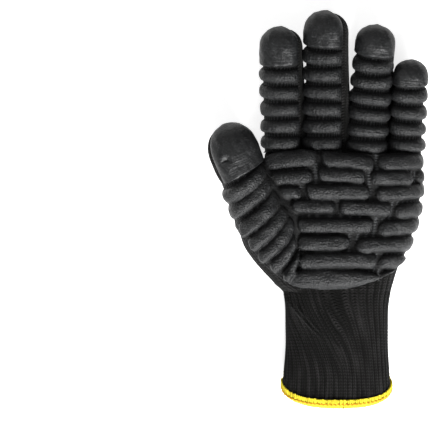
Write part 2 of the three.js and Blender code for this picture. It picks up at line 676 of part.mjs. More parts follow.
function thumbCap() {
  const last = thumbRows.length - 1;
  const stations = [
    ...CAP_PROFILE.map(({ along, rise }) => ({ order: THUMB_CUT + along, rise })),
    ...thumbRows.slice(THUMB_CUT + 1).map(({ order }) => ({ order, rise: order < last ? 1 : DOME_RISE })),
  ];
  const roll = radians(THUMB_ROLL);
  const ringAt = (order, rise) =>
    sleeveRing((turn, lift) => thumbPoint(order, turn + roll, lift), FINGER_SIDES, rise * CAP_HEIGHT);
  const rings = stations.map(({ order, rise }) => ringAt(order, rise));
  return loft(rings).subtract(thumbLoft(CLEARANCE)).intersect(pastThumbCut(CLEARANCE));
}

// Assembly

const knit = new THREE.MeshStandardMaterial({ color: "#1b1b1d", roughness: 0.95, metalness: 0 });
const rubber = new THREE.MeshStandardMaterial({ color: "#242426", roughness: 0.6, metalness: 0 });
const binding = new THREE.MeshStandardMaterial({ color: "#f2c71a", roughness: 0.85, metalness: 0 });

const glove = new THREE.Group();

function place(name, solid, material) {
  const mesh = new THREE.Mesh(geometryOf(solid), material);
  mesh.name = name;
  glove.add(mesh);
}

place("knit_cuff", knitCuff(), knit);
place("cuff_hem", cuffHem(), binding);
place("knit_hand", knitHand(), knit);
place("knit_thumb", knitThumb(), knit);
place("palm_coating", palmCoating(), rubber);
place("thumb_cap", thumbCap(), rubber);
for (const finger of FINGERS) {
  place("knit_" + finger.name, knitStall(finger.name), knit);
  place(finger.name + "_sleeve", fingerSleeve(finger), rubber);
}

// The part's origin is the middle of the glove's box, on the surface.
const box = new THREE.Box3().setFromObject(glove);
glove.position.set(-(box.min.x + box.max.x) / 2, -(box.min.y + box.max.y) / 2, -box.min.z);

export default glove;
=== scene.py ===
"""Anti-vibration work glove for a left hand, lying on its back with the palm up.

Sizes are in millimetres in the hand's own frame: x runs from the thumb to the little finger, y from the
cuff to the fingertips and z up, with the middle of the wrist at x = 0, y = 0. SHIFT takes them into the
frame's own place.
"""

import math
from collections import namedtuple
from functools import partial

import bpy
import numpy as np
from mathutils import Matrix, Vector
from mathutils.bvhtree import BVHTree
from mathutils.kdtree import KDTree


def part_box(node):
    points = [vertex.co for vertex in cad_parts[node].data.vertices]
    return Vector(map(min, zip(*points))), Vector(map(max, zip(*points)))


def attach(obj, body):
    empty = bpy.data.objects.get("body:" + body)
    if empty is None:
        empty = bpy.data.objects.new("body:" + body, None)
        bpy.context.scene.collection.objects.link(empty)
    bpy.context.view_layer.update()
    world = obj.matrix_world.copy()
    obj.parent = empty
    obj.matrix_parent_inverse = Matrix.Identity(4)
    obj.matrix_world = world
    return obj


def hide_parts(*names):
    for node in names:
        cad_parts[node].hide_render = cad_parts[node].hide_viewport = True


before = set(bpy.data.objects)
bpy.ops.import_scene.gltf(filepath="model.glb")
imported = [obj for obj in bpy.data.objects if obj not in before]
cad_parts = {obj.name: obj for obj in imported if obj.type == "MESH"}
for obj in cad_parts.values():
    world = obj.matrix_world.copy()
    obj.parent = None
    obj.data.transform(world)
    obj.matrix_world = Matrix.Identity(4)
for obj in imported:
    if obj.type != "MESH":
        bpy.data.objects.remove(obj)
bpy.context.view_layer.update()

MM = 0.001
CLEARANCE = 0.3
# How high above the floor the lowest points of the knit and the yarn are held
ON_FLOOR = 0.02

# The cuff's knit ends just below the wrist line, and its box lies a little beside x = 0.
CUFF_MIDDLE = 0.17
cuff_low, cuff_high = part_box("knit_cuff")
SHIFT = np.array([
    (cuff_low[0] + cuff_high[0]) / 2 / MM - CUFF_MIDDLE,
    cuff_high[1] / MM + CLEARANCE,
    0.0,
])


def placed(points):
    """Points of the hand's frame, in metres in the row's frame."""
    return (np.asarray(points, dtype=float) + SHIFT) * MM


def linear(colour):
    """A hex colour as linear red, green, blue and alpha."""
    parts = [int(colour[i:i + 2], 16) / 255 for i in (1, 3, 5)]
    return [c / 12.92 if c <= 0.04045 else ((c + 0.055) / 1.055) ** 2.4 for c in parts] + [1.0]


def node(tree, kind, inputs=None, **settings):
    """Adds a node with its settings, its values and its links. A node given as an input links its first
    output."""
    made = tree.nodes.new(kind)
    for name, value in settings.items():
        setattr(made, name, value)
    for socket, value in (inputs or {}).items():
        if isinstance(value, bpy.types.Node):
            value = value.outputs[0]
        if isinstance(value, bpy.types.NodeSocket):
            tree.links.new(value, made.inputs[socket])
        else:
            made.inputs[socket].default_value = value
    return made


# Camera, floor and light

CAMERA_PLACE = [-79.9, 52.4, 1300.0]
CAMERA_LENS = 163.6

camera_data = bpy.data.cameras.new("photo_camera")
camera_data.lens = CAMERA_LENS
camera_data.sensor_width = 36
camera_data.clip_end = 20
camera = bpy.data.objects.new("photo_camera", camera_data)
camera.location = placed(CAMERA_PLACE)
bpy.context.collection.objects.link(camera)
bpy.context.scene.camera = camera


def light_table():
    """Matt white acrylic, lit softly from below as a light table is, without any grain."""
    material = bpy.data.materials.new("matt_white_acrylic")
    material.use_nodes = True
    shader = material.node_tree.nodes["Principled BSDF"]
    shader.inputs["Base Color"].default_value = linear("#f6f6f6")
    shader.inputs["Roughness"].default_value = 0.9
    shader.inputs["Emission Color"].default_value = linear("#ffffff")
    shader.inputs["Emission Strength"].default_value = 0.7
    return material


bpy.ops.mesh.primitive_plane_add(size=8)
floor = bpy.context.object
floor.name = "floor"
floor.data.materials.append(light_table())

bpy.context.scene.view_settings.view_transform = "Standard"
world = bpy.context.scene.world or bpy.data.worlds.new("studio")
bpy.context.scene.world = world
world.use_nodes = True
world.node_tree.nodes["Background"].inputs["Color"].default_value = linear("#ffffff")
world.node_tree.nodes["Background"].inputs["Strength"].default_value = 0.24

GLOVE_MIDDLE = Vector((0.0, 0.13, 0.02))
# name, place from the glove's middle in metres, size in metres, watts
SOFT_LIGHTS = [
    ("key_box", (0.24, -1.03, 0.58), 0.6, 37.0),
    ("fill_box", (-0.5, 0.5, 1.2), 1.0, 3.5),
]
for name, place, size, watts in SOFT_LIGHTS:
    light = bpy.data.lights.new(name, "AREA")
    light.energy = watts
    light.size = size
    lamp = bpy.data.objects.new(name, light)
    lamp.location = GLOVE_MIDDLE + Vector(place)
    lamp.rotation_euler = Vector(place).to_track_quat("Z", "Y").to_euler()
    bpy.context.collection.objects.link(lamp)

# Sections of the liner

# Exponents that round the upper and the lower half of a section, and a tip
UPPER_ROUNDNESS = 2.4
LOWER_ROUNDNESS = 2.7
DOME_ROUNDNESS = 2.25
# Where the hand is widest, as a share of its height, and how deep the floor presses its back in
WIDEST_LINE = 0.46
PRESS_DEPTH = 2.0
# Thickness of the rubber's film and of the knit
FILM = 1.1
WALL = 1.6

# A row of the cuff and the hand: its place, its left and right edge, its top, how far its middle bows
# towards the cuff, and how high its back lies
HAND_ROWS = np.array([
    [-61.0, -35.2, 35.5, 30.0, 12.3, 1.8],
    [-25.6, -33.6, 34.2, 28.8, 0.0, 0.0],
    [0.0, -34.7, 35.5, 27.9, 0.0, 0.0],
    [8.4, -36.0, 37.7, 27.5, 0.0, 0.0],
    [23.2, -36.5, 42.4, 27.7, 0.0, 0.0],
    [40.0, -37.5, 48.4, 26.9, 0.0, 0.0],
    [57.7, -41.5, 52.9, 26.7, 0.0, 0.0],
    [77.2, -46.5, 53.9, 25.9, 0.0, 0.5],
    [93.0, -47.4, 53.4, 23.4, 0.0, 1.7],
])
PALM_LENGTH = 93.0
PALM_WIDTH = 100.1
BOW_ROUNDNESS = 0.8
BOW_BEHIND = 0.3

# A row of the ball of the thumb and the thumb: x, y, half width, turn in degrees, top and low
THUMB_ROWS = np.array([
    [-19.3, -3.3, 11.7, 13.0, 24.8, -1.35],
    [-31.8, 14.1, 11.4, 44.0, 26.2, -1.6],
    [-35.6, 27.2, 17.4, 40.0, 27.8, -1.6],
    [-38.7, 38.1, 22.1, 41.0, 28.9, -1.35],
    [-43.8, 47.2, 22.75, 41.0, 29.4, -0.55],
    [-48.7, 55.6, 19.5, 37.0, 29.4, 0.8],
    [-54.2, 66.5, 16.6, 35.0, 29.7, 2.7],
    [-59.5, 75.2, 14.7, 33.0, 30.5, 5.4],
    [-63.0, 81.2, 13.5, 31.0, 31.3, 7.3],
    [-68.0, 93.7, 13.7, 21.0, 32.9, 10.3],
])
# The rows where the thumb's tip leaves the hand and where it starts to round off
THUMB_CUT = 8
THUMB_ROOT = len(THUMB_ROWS) - 1
THUMB_DOME = 15.3
THUMB_LEAN = math.radians(12)
THUMB_ROLL = math.radians(12)

# root is a finger's x at the palm's end, half its half width, cap the length of its cap. Degrees.
Finger = namedtuple("Finger", "root length half taper cap yaw roll ribs")
FINGERS = {
    "index": Finger(-34.5, 80.1, 11.2, 1.0, 22.4, -1.4, 13.0, 5),
    "middle": Finger(-7.1, 90.5, 11.9, 0.98, 20.5, 0.2, 18.0, 6),
    "ring": Finger(19.7, 81.45, 11.5, 0.93, 17.5, 4.4, 3.0, 6),
    "little": Finger(45.6, 58.55, 9.25, 0.96, 14.5, 2.8, -2.0, 4),
}
FINGER_DEPTH = 0.84
FINGER_RISE = 1.3
FINGER_CURL = math.radians(17)


def spline(knots, values, at):
    """A smooth curve through values at knots, level with its neighbours' chords."""
    step = np.diff(knots)
    chord = np.diff(values) / step
    inner = (chord[:-1] * step[1:] + chord[1:] * step[:-1]) / (step[1:] + step[:-1])
    slope = np.concatenate([[chord[0]], inner, [chord[-1]]])
    at = np.clip(at, knots[0], knots[-1])
    i = np.clip(np.searchsorted(knots, at, side="right") - 1, 0, len(step) - 1)
    t = (at - knots[i]) / step[i]
    return (
        values[i] * (1 + 2 * t) * (1 - t) ** 2
        + slope[i] * step[i] * t * (1 - t) ** 2
        + values[i + 1] * t ** 2 * (3 - 2 * t)
        + slope[i + 1] * step[i] * t ** 2 * (t - 1)
    )


def signed_power(value, power):
    """A power of a value's size, with the value's sign."""
    return np.sign(value) * np.abs(value) ** power


def smooth_step(value, start, end):
    """0 up to start and 1 from end on, with a smooth rise between."""
    t = np.clip((value - start) / (end - start), 0, 1)
    return t * t * (3 - 2 * t)


def ripple(points, size, seed):
    """A smooth random ripple over points, about -1 to 1, with waves about as long as size."""
    draw = np.random.default_rng(seed)
    waves = 9
    ways = draw.normal(size=(waves, 3))
    ways /= np.linalg.norm(ways, axis=1)[:, None] * size * draw.uniform(0.7, 1.4, waves)[:, None]
    return np.sin(2 * math.pi * (points @ ways.T) + draw.uniform(0, 2 * math.pi, waves)).sum(-1) / 3


def section_point(half, rise, drop, turn, lift):
    """A point of a rounded section from its middle. turn is 0 at the top and grows towards the little
    finger."""
    sine, cosine = np.sin(turn), np.cos(turn)
    upper = cosine > 0
    roundness = np.where(upper, UPPER_ROUNDNESS, LOWER_ROUNDNESS)
    across = (half + lift) * signed_power(sine, 2 / roundness)
    up = (np.where(upper, rise, drop) + lift) * signed_power(cosine, 2 / roundness)
    return across, up


def dome_shrink(ahead):
    """How wide a rounded tip still is, a share of the way ahead into it."""
    return (1 - np.clip(ahead, 0, 1) ** DOME_ROUNDNESS) ** (1 / DOME_ROUNDNESS)


def bow_at(turn):
    """How much of a row's bow is left, at each turn."""
    front = np.cos(turn)
    return np.where(front > 0, np.abs(front) ** BOW_ROUNDNESS, BOW_BEHIND * front)


def hand_row(y):
    """The section at y: its middle, half width, widest line, rise and drop from there, bow and lie."""
    along = HAND_ROWS[:, 0]
    left, right, top, bow, lie = (spline(along, HAND_ROWS[:, i], y) for i in range(1, 6))
    line = top * WIDEST_LINE
    return (left + right) / 2, (right - left) / 2, line, top - line, line + PRESS_DEPTH, bow, lie


def hand_point(y, turn, lift=0.0):
    """A point of the cuff and hand, lifted off the liner's outer face."""
    y, turn, lift = np.broadcast_arrays(np.asarray(y, float), turn, lift)
    middle, half, line, rise, drop, bow, lie = hand_row(y)
    across, up = section_point(half, rise, drop, turn, lift)
    height = np.maximum(line + up, np.maximum(lie - lift, 0))
    return np.stack([middle + across, y - bow * bow_at(turn), height], -1)


def thumb_point(order, turn, lift=0.0):
    """A point of the ball of the thumb and the thumb. order counts its sections, and the tip is one
    more."""
    order, turn, lift = np.broadcast_arrays(np.asarray(order, float), turn, lift)
    knots = np.arange(len(THUMB_ROWS), dtype=float)
    x, y, half, plan, top, low = (spline(knots, THUMB_ROWS[:, i], order) for i in range(6))
    plan = np.radians(plan)
    ahead = np.sin(np.clip(order - THUMB_ROOT, 0, 1) * math.pi / 2)
    shrink = dome_shrink(ahead)
    rise = (top - low) / 2 * shrink
    across, up = section_point(half * shrink, rise, rise, turn, lift * shrink)
    back = up * math.sin(THUMB_LEAN) - lift * np.sqrt(1 - shrink ** 2) - ahead * THUMB_DOME
    height = (top + low) / 2 + up * math.cos(THUMB_LEAN)
    return np.stack([
        x + across * np.cos(plan) + back * np.sin(plan),
        y + across * np.sin(plan) - back * np.cos(plan),
        np.maximum(height, np.maximum(-lift, 0)),
    ], -1)


def finger_point(finger, s, turn, lift=0.0):
    """A point of a finger's stall at a distance s from its root, lifted off the liner's outer face."""
    root, length, half, taper, _, yaw, roll, _ = FINGERS[finger]
    s, turn, lift = np.broadcast_arrays(np.asarray(s, float), turn, lift)
    yaw, roll = math.radians(yaw), math.radians(roll)
    start = length - half * taper
    ahead = np.clip((s - start) / (length - start), 0, 1)
    shrink = dome_shrink(ahead)
    here = half * (1 + (taper - 1) * np.clip(s / start, 0, 1)) * shrink
    across, up = section_point(here, here * FINGER_DEPTH, here * FINGER_DEPTH, turn, lift * shrink)
    bend = FINGER_CURL * np.maximum(s, 0) / length
    radius = length / FINGER_CURL
    level = np.where(s < 0, s, radius * np.sin(bend))
    way = np.stack([math.sin(yaw) * np.cos(bend), math.cos(yaw) * np.cos(bend), np.sin(bend)], -1)
    side = np.array([math.cos(yaw), -math.sin(yaw), 0.0])
    palm = np.cross(side, way)
    rolled_side = side * math.cos(roll) + palm * math.sin(roll)
    rolled_palm = palm * math.cos(roll) - side * math.sin(roll)
    axis = np.stack([
        root + math.sin(yaw) * level,
        PALM_LENGTH + math.cos(yaw) * level,
        FINGER_RISE + half * FINGER_DEPTH + radius * (1 - np.cos(bend)),
    ], -1)
    forward = (lift * np.sqrt(1 - shrink ** 2))[..., None] * way
    return axis + forward + across[..., None] * rolled_side + up[..., None] * rolled_palm


# How far round to the left and right each sleeve of the coating reaches, in degrees
SLEEVE_SIDES = {
    "index": (-98, 69), "middle": (-98, 68), "ring": (-98, 82), "little": (-92, 98),
    "thumb": (-79, 100),
}
# The knit swells beside a sleeve's side that stops short of these turns: by how much, how much more at
# the finger's root, how far up the finger that reaches, and the turns from the sleeve's edge where the
# swell starts and from the finger's top where it ends
SHORT_SIDE = (-1.4, 1.5)
SWELL = 2.4
SWELL_AT_ROOT = 1.1
SWELL_REACH = 0.85
SWELL_STARTS, SWELL_ENDS = (-0.05, 0.3), (2.3, 2.9)

# Meshes


def grid_faces(rows, columns, wrap=False, first=0):
    """Quads of a grid of points, row by row."""
    across = columns if wrap else columns - 1
    r, c = np.meshgrid(np.arange(rows - 1), np.arange(across), indexing="ij")
    nxt = (c + 1) % columns
    a, b = r * columns + c, r * columns + nxt
    return (np.stack([a, b, b + columns, a + columns], -1) + first).reshape(-1, 4)


def tube(rings):
    """A closed shell through rings of points, its two ends closed by fans."""
    rows, columns = rings.shape[:2]
    points = np.concatenate([rings.reshape(-1, 3), rings[0].mean(0)[None], rings[-1].mean(0)[None]])
    faces = grid_faces(rows, columns, wrap=True).tolist()
    start, end = rows * columns, rows * columns + 1
    last = (rows - 1) * columns
    for j in range(columns):
        k = (j + 1) % columns
        faces.append([start, k, j])
        faces.append([end, last + j, last + k])
    return outward(points, faces)


def shell(outer, inner):
    """A closed shell between two open grids of points."""
    rows, columns = outer.shape[:2]
    count = rows * columns
    points = np.concatenate([outer.reshape(-1, 3), inner.reshape(-1, 3)])
    faces = grid_faces(rows, columns).tolist()
    faces += grid_faces(rows, columns, first=count)[:, ::-1].tolist()
    rim = list(range(columns)) + [r * columns + columns - 1 for r in range(1, rows)]
    rim += [(rows - 1) * columns + c for c in range(columns - 2, -1, -1)]
    rim += [r * columns for r in range(rows - 2, 0, -1)]
    for a, b in zip(rim, rim[1:] + rim[:1]):
        faces.append([b, a, a + count, b + count])
    return outward(points, faces)


def outward(points, faces):
    """The same mesh with its faces turned outwards."""
    triangles = np.array([[f[0], f[i], f[i + 1]] for f in faces for i in range(1, len(f) - 1)])
    a, b, c = (points[triangles[:, i]] for i in range(3))
    if np.einsum("ij,ij->i", a, np.cross(b, c)).sum() < 0:
        faces = [f[::-1] for f in faces]
    return points, faces


def mesh_of(name, points, faces):
    """A mesh from points of the hand's frame."""
    mesh = bpy.data.meshes.new(name)
    mesh.from_pydata(placed(points).tolist(), [], [list(f) for f in faces])
    mesh.update()
    return mesh


def ring_mesh(name, rings):
    """A closed band from rings of points, joined both ways round."""
    count = rings.shape[0] * rings.shape[1]
    faces = grid_faces(rings.shape[0] + 1, rings.shape[1], wrap=True) % count
    points, faces = outward(rings.reshape(-1, 3), faces.tolist())
    return object_of(name, mesh_of(name, points, faces))


def object_of(name, mesh):
    """An object with a mesh, linked into the scene."""
    made = bpy.data.objects.new(name, mesh)
    bpy.context.collection.objects.link(made)
    return made


def settled(made):
    """The object's mesh with its modifiers applied and removed."""
    bpy.context.view_layer.update()
    evaluated = made.evaluated_get(bpy.context.evaluated_depsgraph_get())
    mesh = bpy.data.meshes.new_from_object(evaluated)
    made.modifiers.clear()
    made.data = mesh
    return made


def points_of(mesh):
    """A mesh's points in the hand's frame."""
    flat = np.empty(len(mesh.vertices) * 3)
    mesh.vertices.foreach_get("co", flat)
    return flat.reshape(-1, 3) / MM - SHIFT


def normals_of(mesh):
    """The normals at a mesh's points."""
    flat = np.empty(len(mesh.vertices) * 3)
    mesh.vertices.foreach_get("normal", flat)
    return flat.reshape(-1, 3)


def set_points(mesh, points):
    """Moves a mesh's points to new places in the hand's frame."""
    mesh.vertices.foreach_set("co", placed(points).ravel())
    mesh.update()


def fused(name, shells, voxel, rounds):
    """One closed skin round shells that overlap, softened where they meet."""
    points, faces, count = [], [], 0
    for shell_points, shell_faces in shells:
        points.append(shell_points)
        faces += [[i + count for i in f] for f in shell_faces]
        count += len(shell_points)
    made = object_of(name, mesh_of(name, np.concatenate(points), faces))
    remesh = made.modifiers.new("fuse", "REMESH")
    remesh.mode = "VOXEL"
    remesh.voxel_size = voxel * MM
    soften = made.modifiers.new("soften", "SMOOTH")
    soften.factor = 0.5
    soften.iterations = rounds
    return settled(made)


def walled(made, thickness):
    """The object with an inner face a wall's thickness inside its skin."""
    wall = made.modifiers.new("wall", "SOLIDIFY")
    wall.thickness = thickness * MM
    wall.offset = -1
    return settled(made)


def keep_faces(made, kept):
    """Keeps the quads whose corners are all kept, and evens the cut edge."""
    mesh = made.data
    quads = np.array([list(p.vertices) for p in mesh.polygons])
    points = points_of(mesh)
    quads = quads[kept[quads].all(1)]
    used, packed = np.unique(quads, return_inverse=True)
    quads = packed.reshape(-1, 4)
    points = even_edge(points[used], quads)
    made.data = mesh_of(mesh.name, points, quads.tolist())
    return made


# How often an open edge is evened
EDGE_ROUNDS = 12


def even_edge(points, quads):
    """Draws the steps out of a mesh's open edge."""
    sides = np.concatenate([quads[:, [i, (i + 1) % 4]] for i in range(4)])
    keys = np.sort(sides, 1)
    _, first, counts = np.unique(keys, axis=0, return_index=True, return_counts=True)
    edge = keys[first[counts == 1]]
    points = points.copy()
    rim = np.unique(edge)
    for _ in range(EDGE_ROUNDS):
        total = np.zeros_like(points)
        near = np.zeros(len(points))
        for a, b in ((0, 1), (1, 0)):
            np.add.at(total, edge[:, a], points[edge[:, b]])
            np.add.at(near, edge[:, a], 1)
        points[rim] = 0.5 * points[rim] + 0.5 * total[rim] / near[rim, None]
    return points


def add_vectors(mesh, name, values, kind="FLOAT_VECTOR"):
    """A vector or a number for each point, for a tree or a material to read."""
    attribute = mesh.attributes.new(name, kind, "POINT")
    field = "vector" if kind == "FLOAT_VECTOR" else "value"
    attribute.data.foreach_set(field, np.asarray(values, dtype=float).ravel())


# Corners of one face further apart than this lie on two runs of the knit.
TORN = 2.4


def add_knit(mesh, wale, course, period=None, strength=1.0):
    """The knit's coordinates at the corners of each face. They run on where the knit comes round after
    its period, and the pattern fades out where two runs of it meet."""
    if period is None:
        period = np.full(len(wale), 2.0 * WALES)
    corners = np.empty(len(mesh.loops), dtype=np.int32)
    mesh.loops.foreach_get("vertex_index", corners)
    quads = corners.reshape(-1, 4)
    wales, courses, periods = wale[quads], course[quads], period[quads]
    wales = np.where(wales.max(1, keepdims=True) - wales > periods / 2, wales + periods, wales)
    torn = (np.ptp(wales, 1) > TORN) | (np.ptp(courses, 1) > TORN) | (np.ptp(periods, 1) > 0)
    shown = np.ones(len(wale)) * strength
    shown[quads[torn]] = 0
    attribute = mesh.attributes.new("knit", "FLOAT_VECTOR", "CORNER")
    attribute.data.foreach_set("vector", np.stack([wales, courses, shown[quads]], -1).ravel())


def new_tree(name, sockets):
    """A Geometry Nodes tree with its named inputs, and those inputs' sockets."""
    tree = bpy.data.node_groups.new(name, "GeometryNodeTree")
    tree.interface.new_socket("Base", in_out="INPUT", socket_type="NodeSocketGeometry")
    for socket, kind in sockets.items():
        tree.interface.new_socket(socket, in_out="INPUT", socket_type="NodeSocket" + kind)
    tree.interface.new_socket("Made", in_out="OUTPUT", socket_type="NodeSocketGeometry")
    return tree, tree.nodes.new("NodeGroupInput").outputs


def closed_tree(tree, geometry, material):
    """The tree with its instances made real, its material set and its result given out."""
    real = node(tree, "GeometryNodeRealizeInstances", {"Geometry": geometry})
    dressed = node(tree, "GeometryNodeSetMaterial", {"Geometry": real, "Material": material})
    node(tree, "NodeGroupOutput", {0: dressed})
    return tree


def grown(made, tree, values):
    """The object with a Geometry Nodes tree applied, its inputs set by their identifiers."""
    modifier = made.modifiers.new(tree.name, "NODES")
    modifier.node_group = tree
    for item in tree.interface.items_tree:
        if item.item_type == "SOCKET" and item.in_out == "INPUT" and item.name in values:
            modifier[item.identifier] = values[item.name]
    return settled(made)


def finish_piece(made, material, slot, *nodes):
    """Shades a piece smoothly, gives it its material, and puts it in place of its nodes. slot is not
    used.
    """
    mesh = made.data
    mesh.polygons.foreach_set("use_smooth", np.ones(len(mesh.polygons), dtype=bool))
    mesh.update()
    mesh.materials.clear()
    mesh.materials.append(material)
    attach(made, "root")
    if nodes:
        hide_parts(*nodes)
    return made


TURNS = np.linspace(-math.pi, math.pi, 97)[:-1]
# The hand's shell starts inside the cuff and a finger's inside the hand, so that they fuse.
HAND_STATIONS = np.linspace(-8.0, PALM_LENGTH - 0.4, 70)
FINGER_START = -12.0
FINGER_ROOT_STATIONS = np.linspace(FINGER_START, 8.0, 20)
# The last section before a tip closes, as a share of the way round the tip
TIP_END = 0.985


def lofted(at, stations, lift):
    """A closed shell round a surface, through its sections at some stations."""
    return tube(at(stations[:, None], TURNS[None], lift))


def finger_stations(finger, start, count=64):
    """Distances along a finger, closer together over the round tip."""
    length = FINGERS[finger].length
    dome = length - FINGERS[finger].half * FINGERS[finger].taper
    angles = np.linspace(0, math.pi / 2 * TIP_END, 18)[1:]
    return np.concatenate([np.linspace(start, dome, count), dome + (length - dome) * np.sin(angles)])


def swell_at(digit, turn):
    """How far the liner swells beside a sleeve that stops short, at each turn."""
    sides = []
    for degrees, short, way in zip(SLEEVE_SIDES[digit], SHORT_SIDE, (-1, 1)):
        side, turned = math.radians(degrees) * way, turn * way
        swells = smooth_step(turned, *(side + start for start in SWELL_STARTS))
        sides.append(swells * (1 - smooth_step(turned, *SWELL_ENDS)) * (side < short * way))
    return SWELL * np.maximum(*sides)


def stall_shell(finger):
    """A finger of the liner, swollen most at its root, where the fingers touch."""
    stations = finger_stations(finger, FINGER_START)
    reach = SWELL_REACH * FINGERS[finger].length
    share = 1 + SWELL_AT_ROOT * (1 - smooth_step(stations, 0, reach))
    return lofted(partial(finger_point, finger), stations, swell_at(finger, TURNS) * share[:, None])


def thumb_shell():
    """The thumb of the liner with its ball, swollen beside its cap."""
    orders = np.linspace(0, THUMB_ROOT + 0.99, 90)
    swell = swell_at("thumb", TURNS - THUMB_ROLL) * smooth_step(orders, 7.2, 8.6)[:, None]
    return lofted(thumb_point, orders, swell)


# Knit

# Ribs round the glove, the height of one knitted row and how many rows it waves by
WALES = 56
COURSE = 1.9
COURSE_WAVE = 0.4
RIB_DEPTH = 0.85
STITCH_HEIGHT = 0.2
# Width of one column of stitches on a finger
STALL_WALE = 1.7
# Ribs left of the palm's middle lean towards the thumb as they leave the cuff.
LEAN = -0.9
LEAN_STARTS, LEAN_ENDS = -48, 8
LEAN_MIDDLE = math.radians(-35)
LEAN_WIDTH = math.radians(62)
# The left edge of the hand with its thumb, which the knit's lines follow. y, x
LEFT_EDGE = np.array([
    [-90.0, -35.0], [-25.0, -33.2], [-4.0, -34.0], [3.0, -35.7], [9.6, -41.0], [16.2, -47.0],
    [22.8, -53.0], [29.3, -58.0], [35.9, -62.0], [49.1, -66.7], [70.0, -70.0], [120.0, -72.0],
])

ARC_TURNS = np.linspace(-math.pi, math.pi, 721)
arc_steps = np.linalg.norm(np.diff(hand_point(-10.0, ARC_TURNS), axis=0), axis=1)
ARC_SHARES = np.concatenate([[0], np.cumsum(arc_steps)]) / arc_steps.sum()


def lean_at(y, turn):
    """How far round the cuff a rib has leaned at y."""
    leaned = LEAN * smooth_step(y, LEAN_STARTS, LEAN_ENDS)
    return leaned * np.exp(-((turn - LEAN_MIDDLE) / LEAN_WIDTH) ** 2)


def turn_of(points):
    """How far round the hand points lie, its left edge being that of the ball of the thumb."""
    x, y, z = points.T
    middle, half, line, rise, drop = hand_row(y)[:5]
    right = middle + half
    left = np.interp(y, LEFT_EDGE[:, 0], LEFT_EDGE[:, 1])
    a = np.clip((x - (left + right) / 2) / ((right - left) / 2), -1, 1)
    b = np.where(z > line, (z - line) / rise, (z - line) / drop)
    roundness = np.where(b > 0, UPPER_ROUNDNESS, LOWER_ROUNDNESS)
    return np.arctan2(signed_power(a, roundness / 2), signed_power(b, roundness / 2))


def wale_of(points):
    """Which knitted rib a point of the hand lies on, counted round the glove."""
    turn = turn_of(points)
    start = turn
    # Each round comes closer to the turn where the rib starts, at the cuff's low end.
    for _ in range(30):
        start = turn - lean_at(points[:, 1], start)
    return WALES * np.interp(start, ARC_TURNS, ARC_SHARES)


def rib_fall(wale):
    """How deep the knit lies between two ribs."""
    return RIB_DEPTH * (1 - np.abs(np.sin(math.pi * wale)) ** 0.7)


def course_of(points):
    """Which knitted row a point lies on. The rows wave a little."""
    return points[..., 1] / COURSE + COURSE_WAVE * ripple(points, 42, 7)


def stitch_rise(wale, course):
    """The swell of the stitches, which lean to both sides of a rib's middle."""
    across = np.abs(wale % 1 - 0.5)
    return STITCH_HEIGHT * np.sin(2 * math.pi * (course - 0.9 * across))


# Two folds run from the wrist's left down over the front of the cuff: the ends of the first in plan,
# its curve and its width, and each one's place beside the first with its height
FOLD_START, FOLD_END = np.array([-36.5, 2.0]), np.array([-9.5, -34.0])
FOLD_CURVE, FOLD_WIDTH, FOLD_FRONT = 3.5, 0.9, 14
FOLDS = [(0.0, 1.2), (2.4, 1.0)]
# How far the edges of the cuff and the hand dive into each other at the wrist
WRIST_DIVE = 0.8


def wrist_fold(points):
    """How far the cuff's knit stands up in its folds."""
    length = np.linalg.norm(FOLD_END - FOLD_START)
    way = (FOLD_END - FOLD_START) / length
    away = points[..., :2] - FOLD_START
    along = away @ way / length
    side = away @ [way[1], -way[0]] + FOLD_CURVE * along ** 2
    shown = smooth_step(along, -0.1, 0.15) * (1 - smooth_step(along, 0.6, 1.1))
    shown = shown * (points[..., 2] > FOLD_FRONT)
    ridges = [height * np.exp(-((side + aside) / FOLD_WIDTH) ** 2) for aside, height in FOLDS]
    return shown * (ridges[0] + ridges[1])


# Columns of points on one rib
RIB_COLUMNS = 6
CUFF_LOW, CUFF_TOP = -60.6, 3.0
# The cuff's inner face lies behind the deepest groove.
LINING = -WALL - 0.6


def knit_cuff():
    """The cuff, drawn on a grid whose columns run along its ribs."""
    columns = WALES * RIB_COLUMNS
    wale = np.arange(columns) / RIB_COLUMNS
    turns = np.interp(wale / WALES, ARC_SHARES, ARC_TURNS)
    outer_rows = np.linspace(CUFF_LOW, CUFF_TOP, 162)
    inner_rows = np.linspace(CUFF_TOP, CUFF_LOW, 12)
    leaned = turns[None] + lean_at(outer_rows[:, None], turns[None])
    smooth = hand_point(outer_rows[:, None], leaned)
    course = course_of(smooth)
    # Below the wrist the cuff hangs loose: its ribs differ in depth, and it waves and folds.
    below = 1 - smooth_step(smooth[..., 1], -12, 1)
    looseness = 1 - below * (0.35 - 0.5 * ripple(smooth * [1, 0.3, 1], 15, 5))
    lifts = stitch_rise(wale[None], course) - rib_fall(wale)[None] * looseness
    lifts += below * (0.45 * ripple(smooth * [1, 0.6, 1], 24, 6) + wrist_fold(smooth))
    lifts -= WRIST_DIVE * smooth_step(smooth[..., 1], 1.4, CUFF_TOP)
    outer = hand_point(outer_rows[:, None], leaned, lifts)
    leaned = turns[None] + lean_at(inner_rows[:, None], turns[None])
    inner = hand_point(inner_rows[:, None], leaned, LINING)
    made = ring_mesh("cuff_knit", np.concatenate([outer, inner]))
    along = np.concatenate([course.ravel(), np.repeat(inner_rows / COURSE, columns)])
    add_knit(made.data, np.tile(2 * wale, len(outer) + len(inner)), along)
    return made


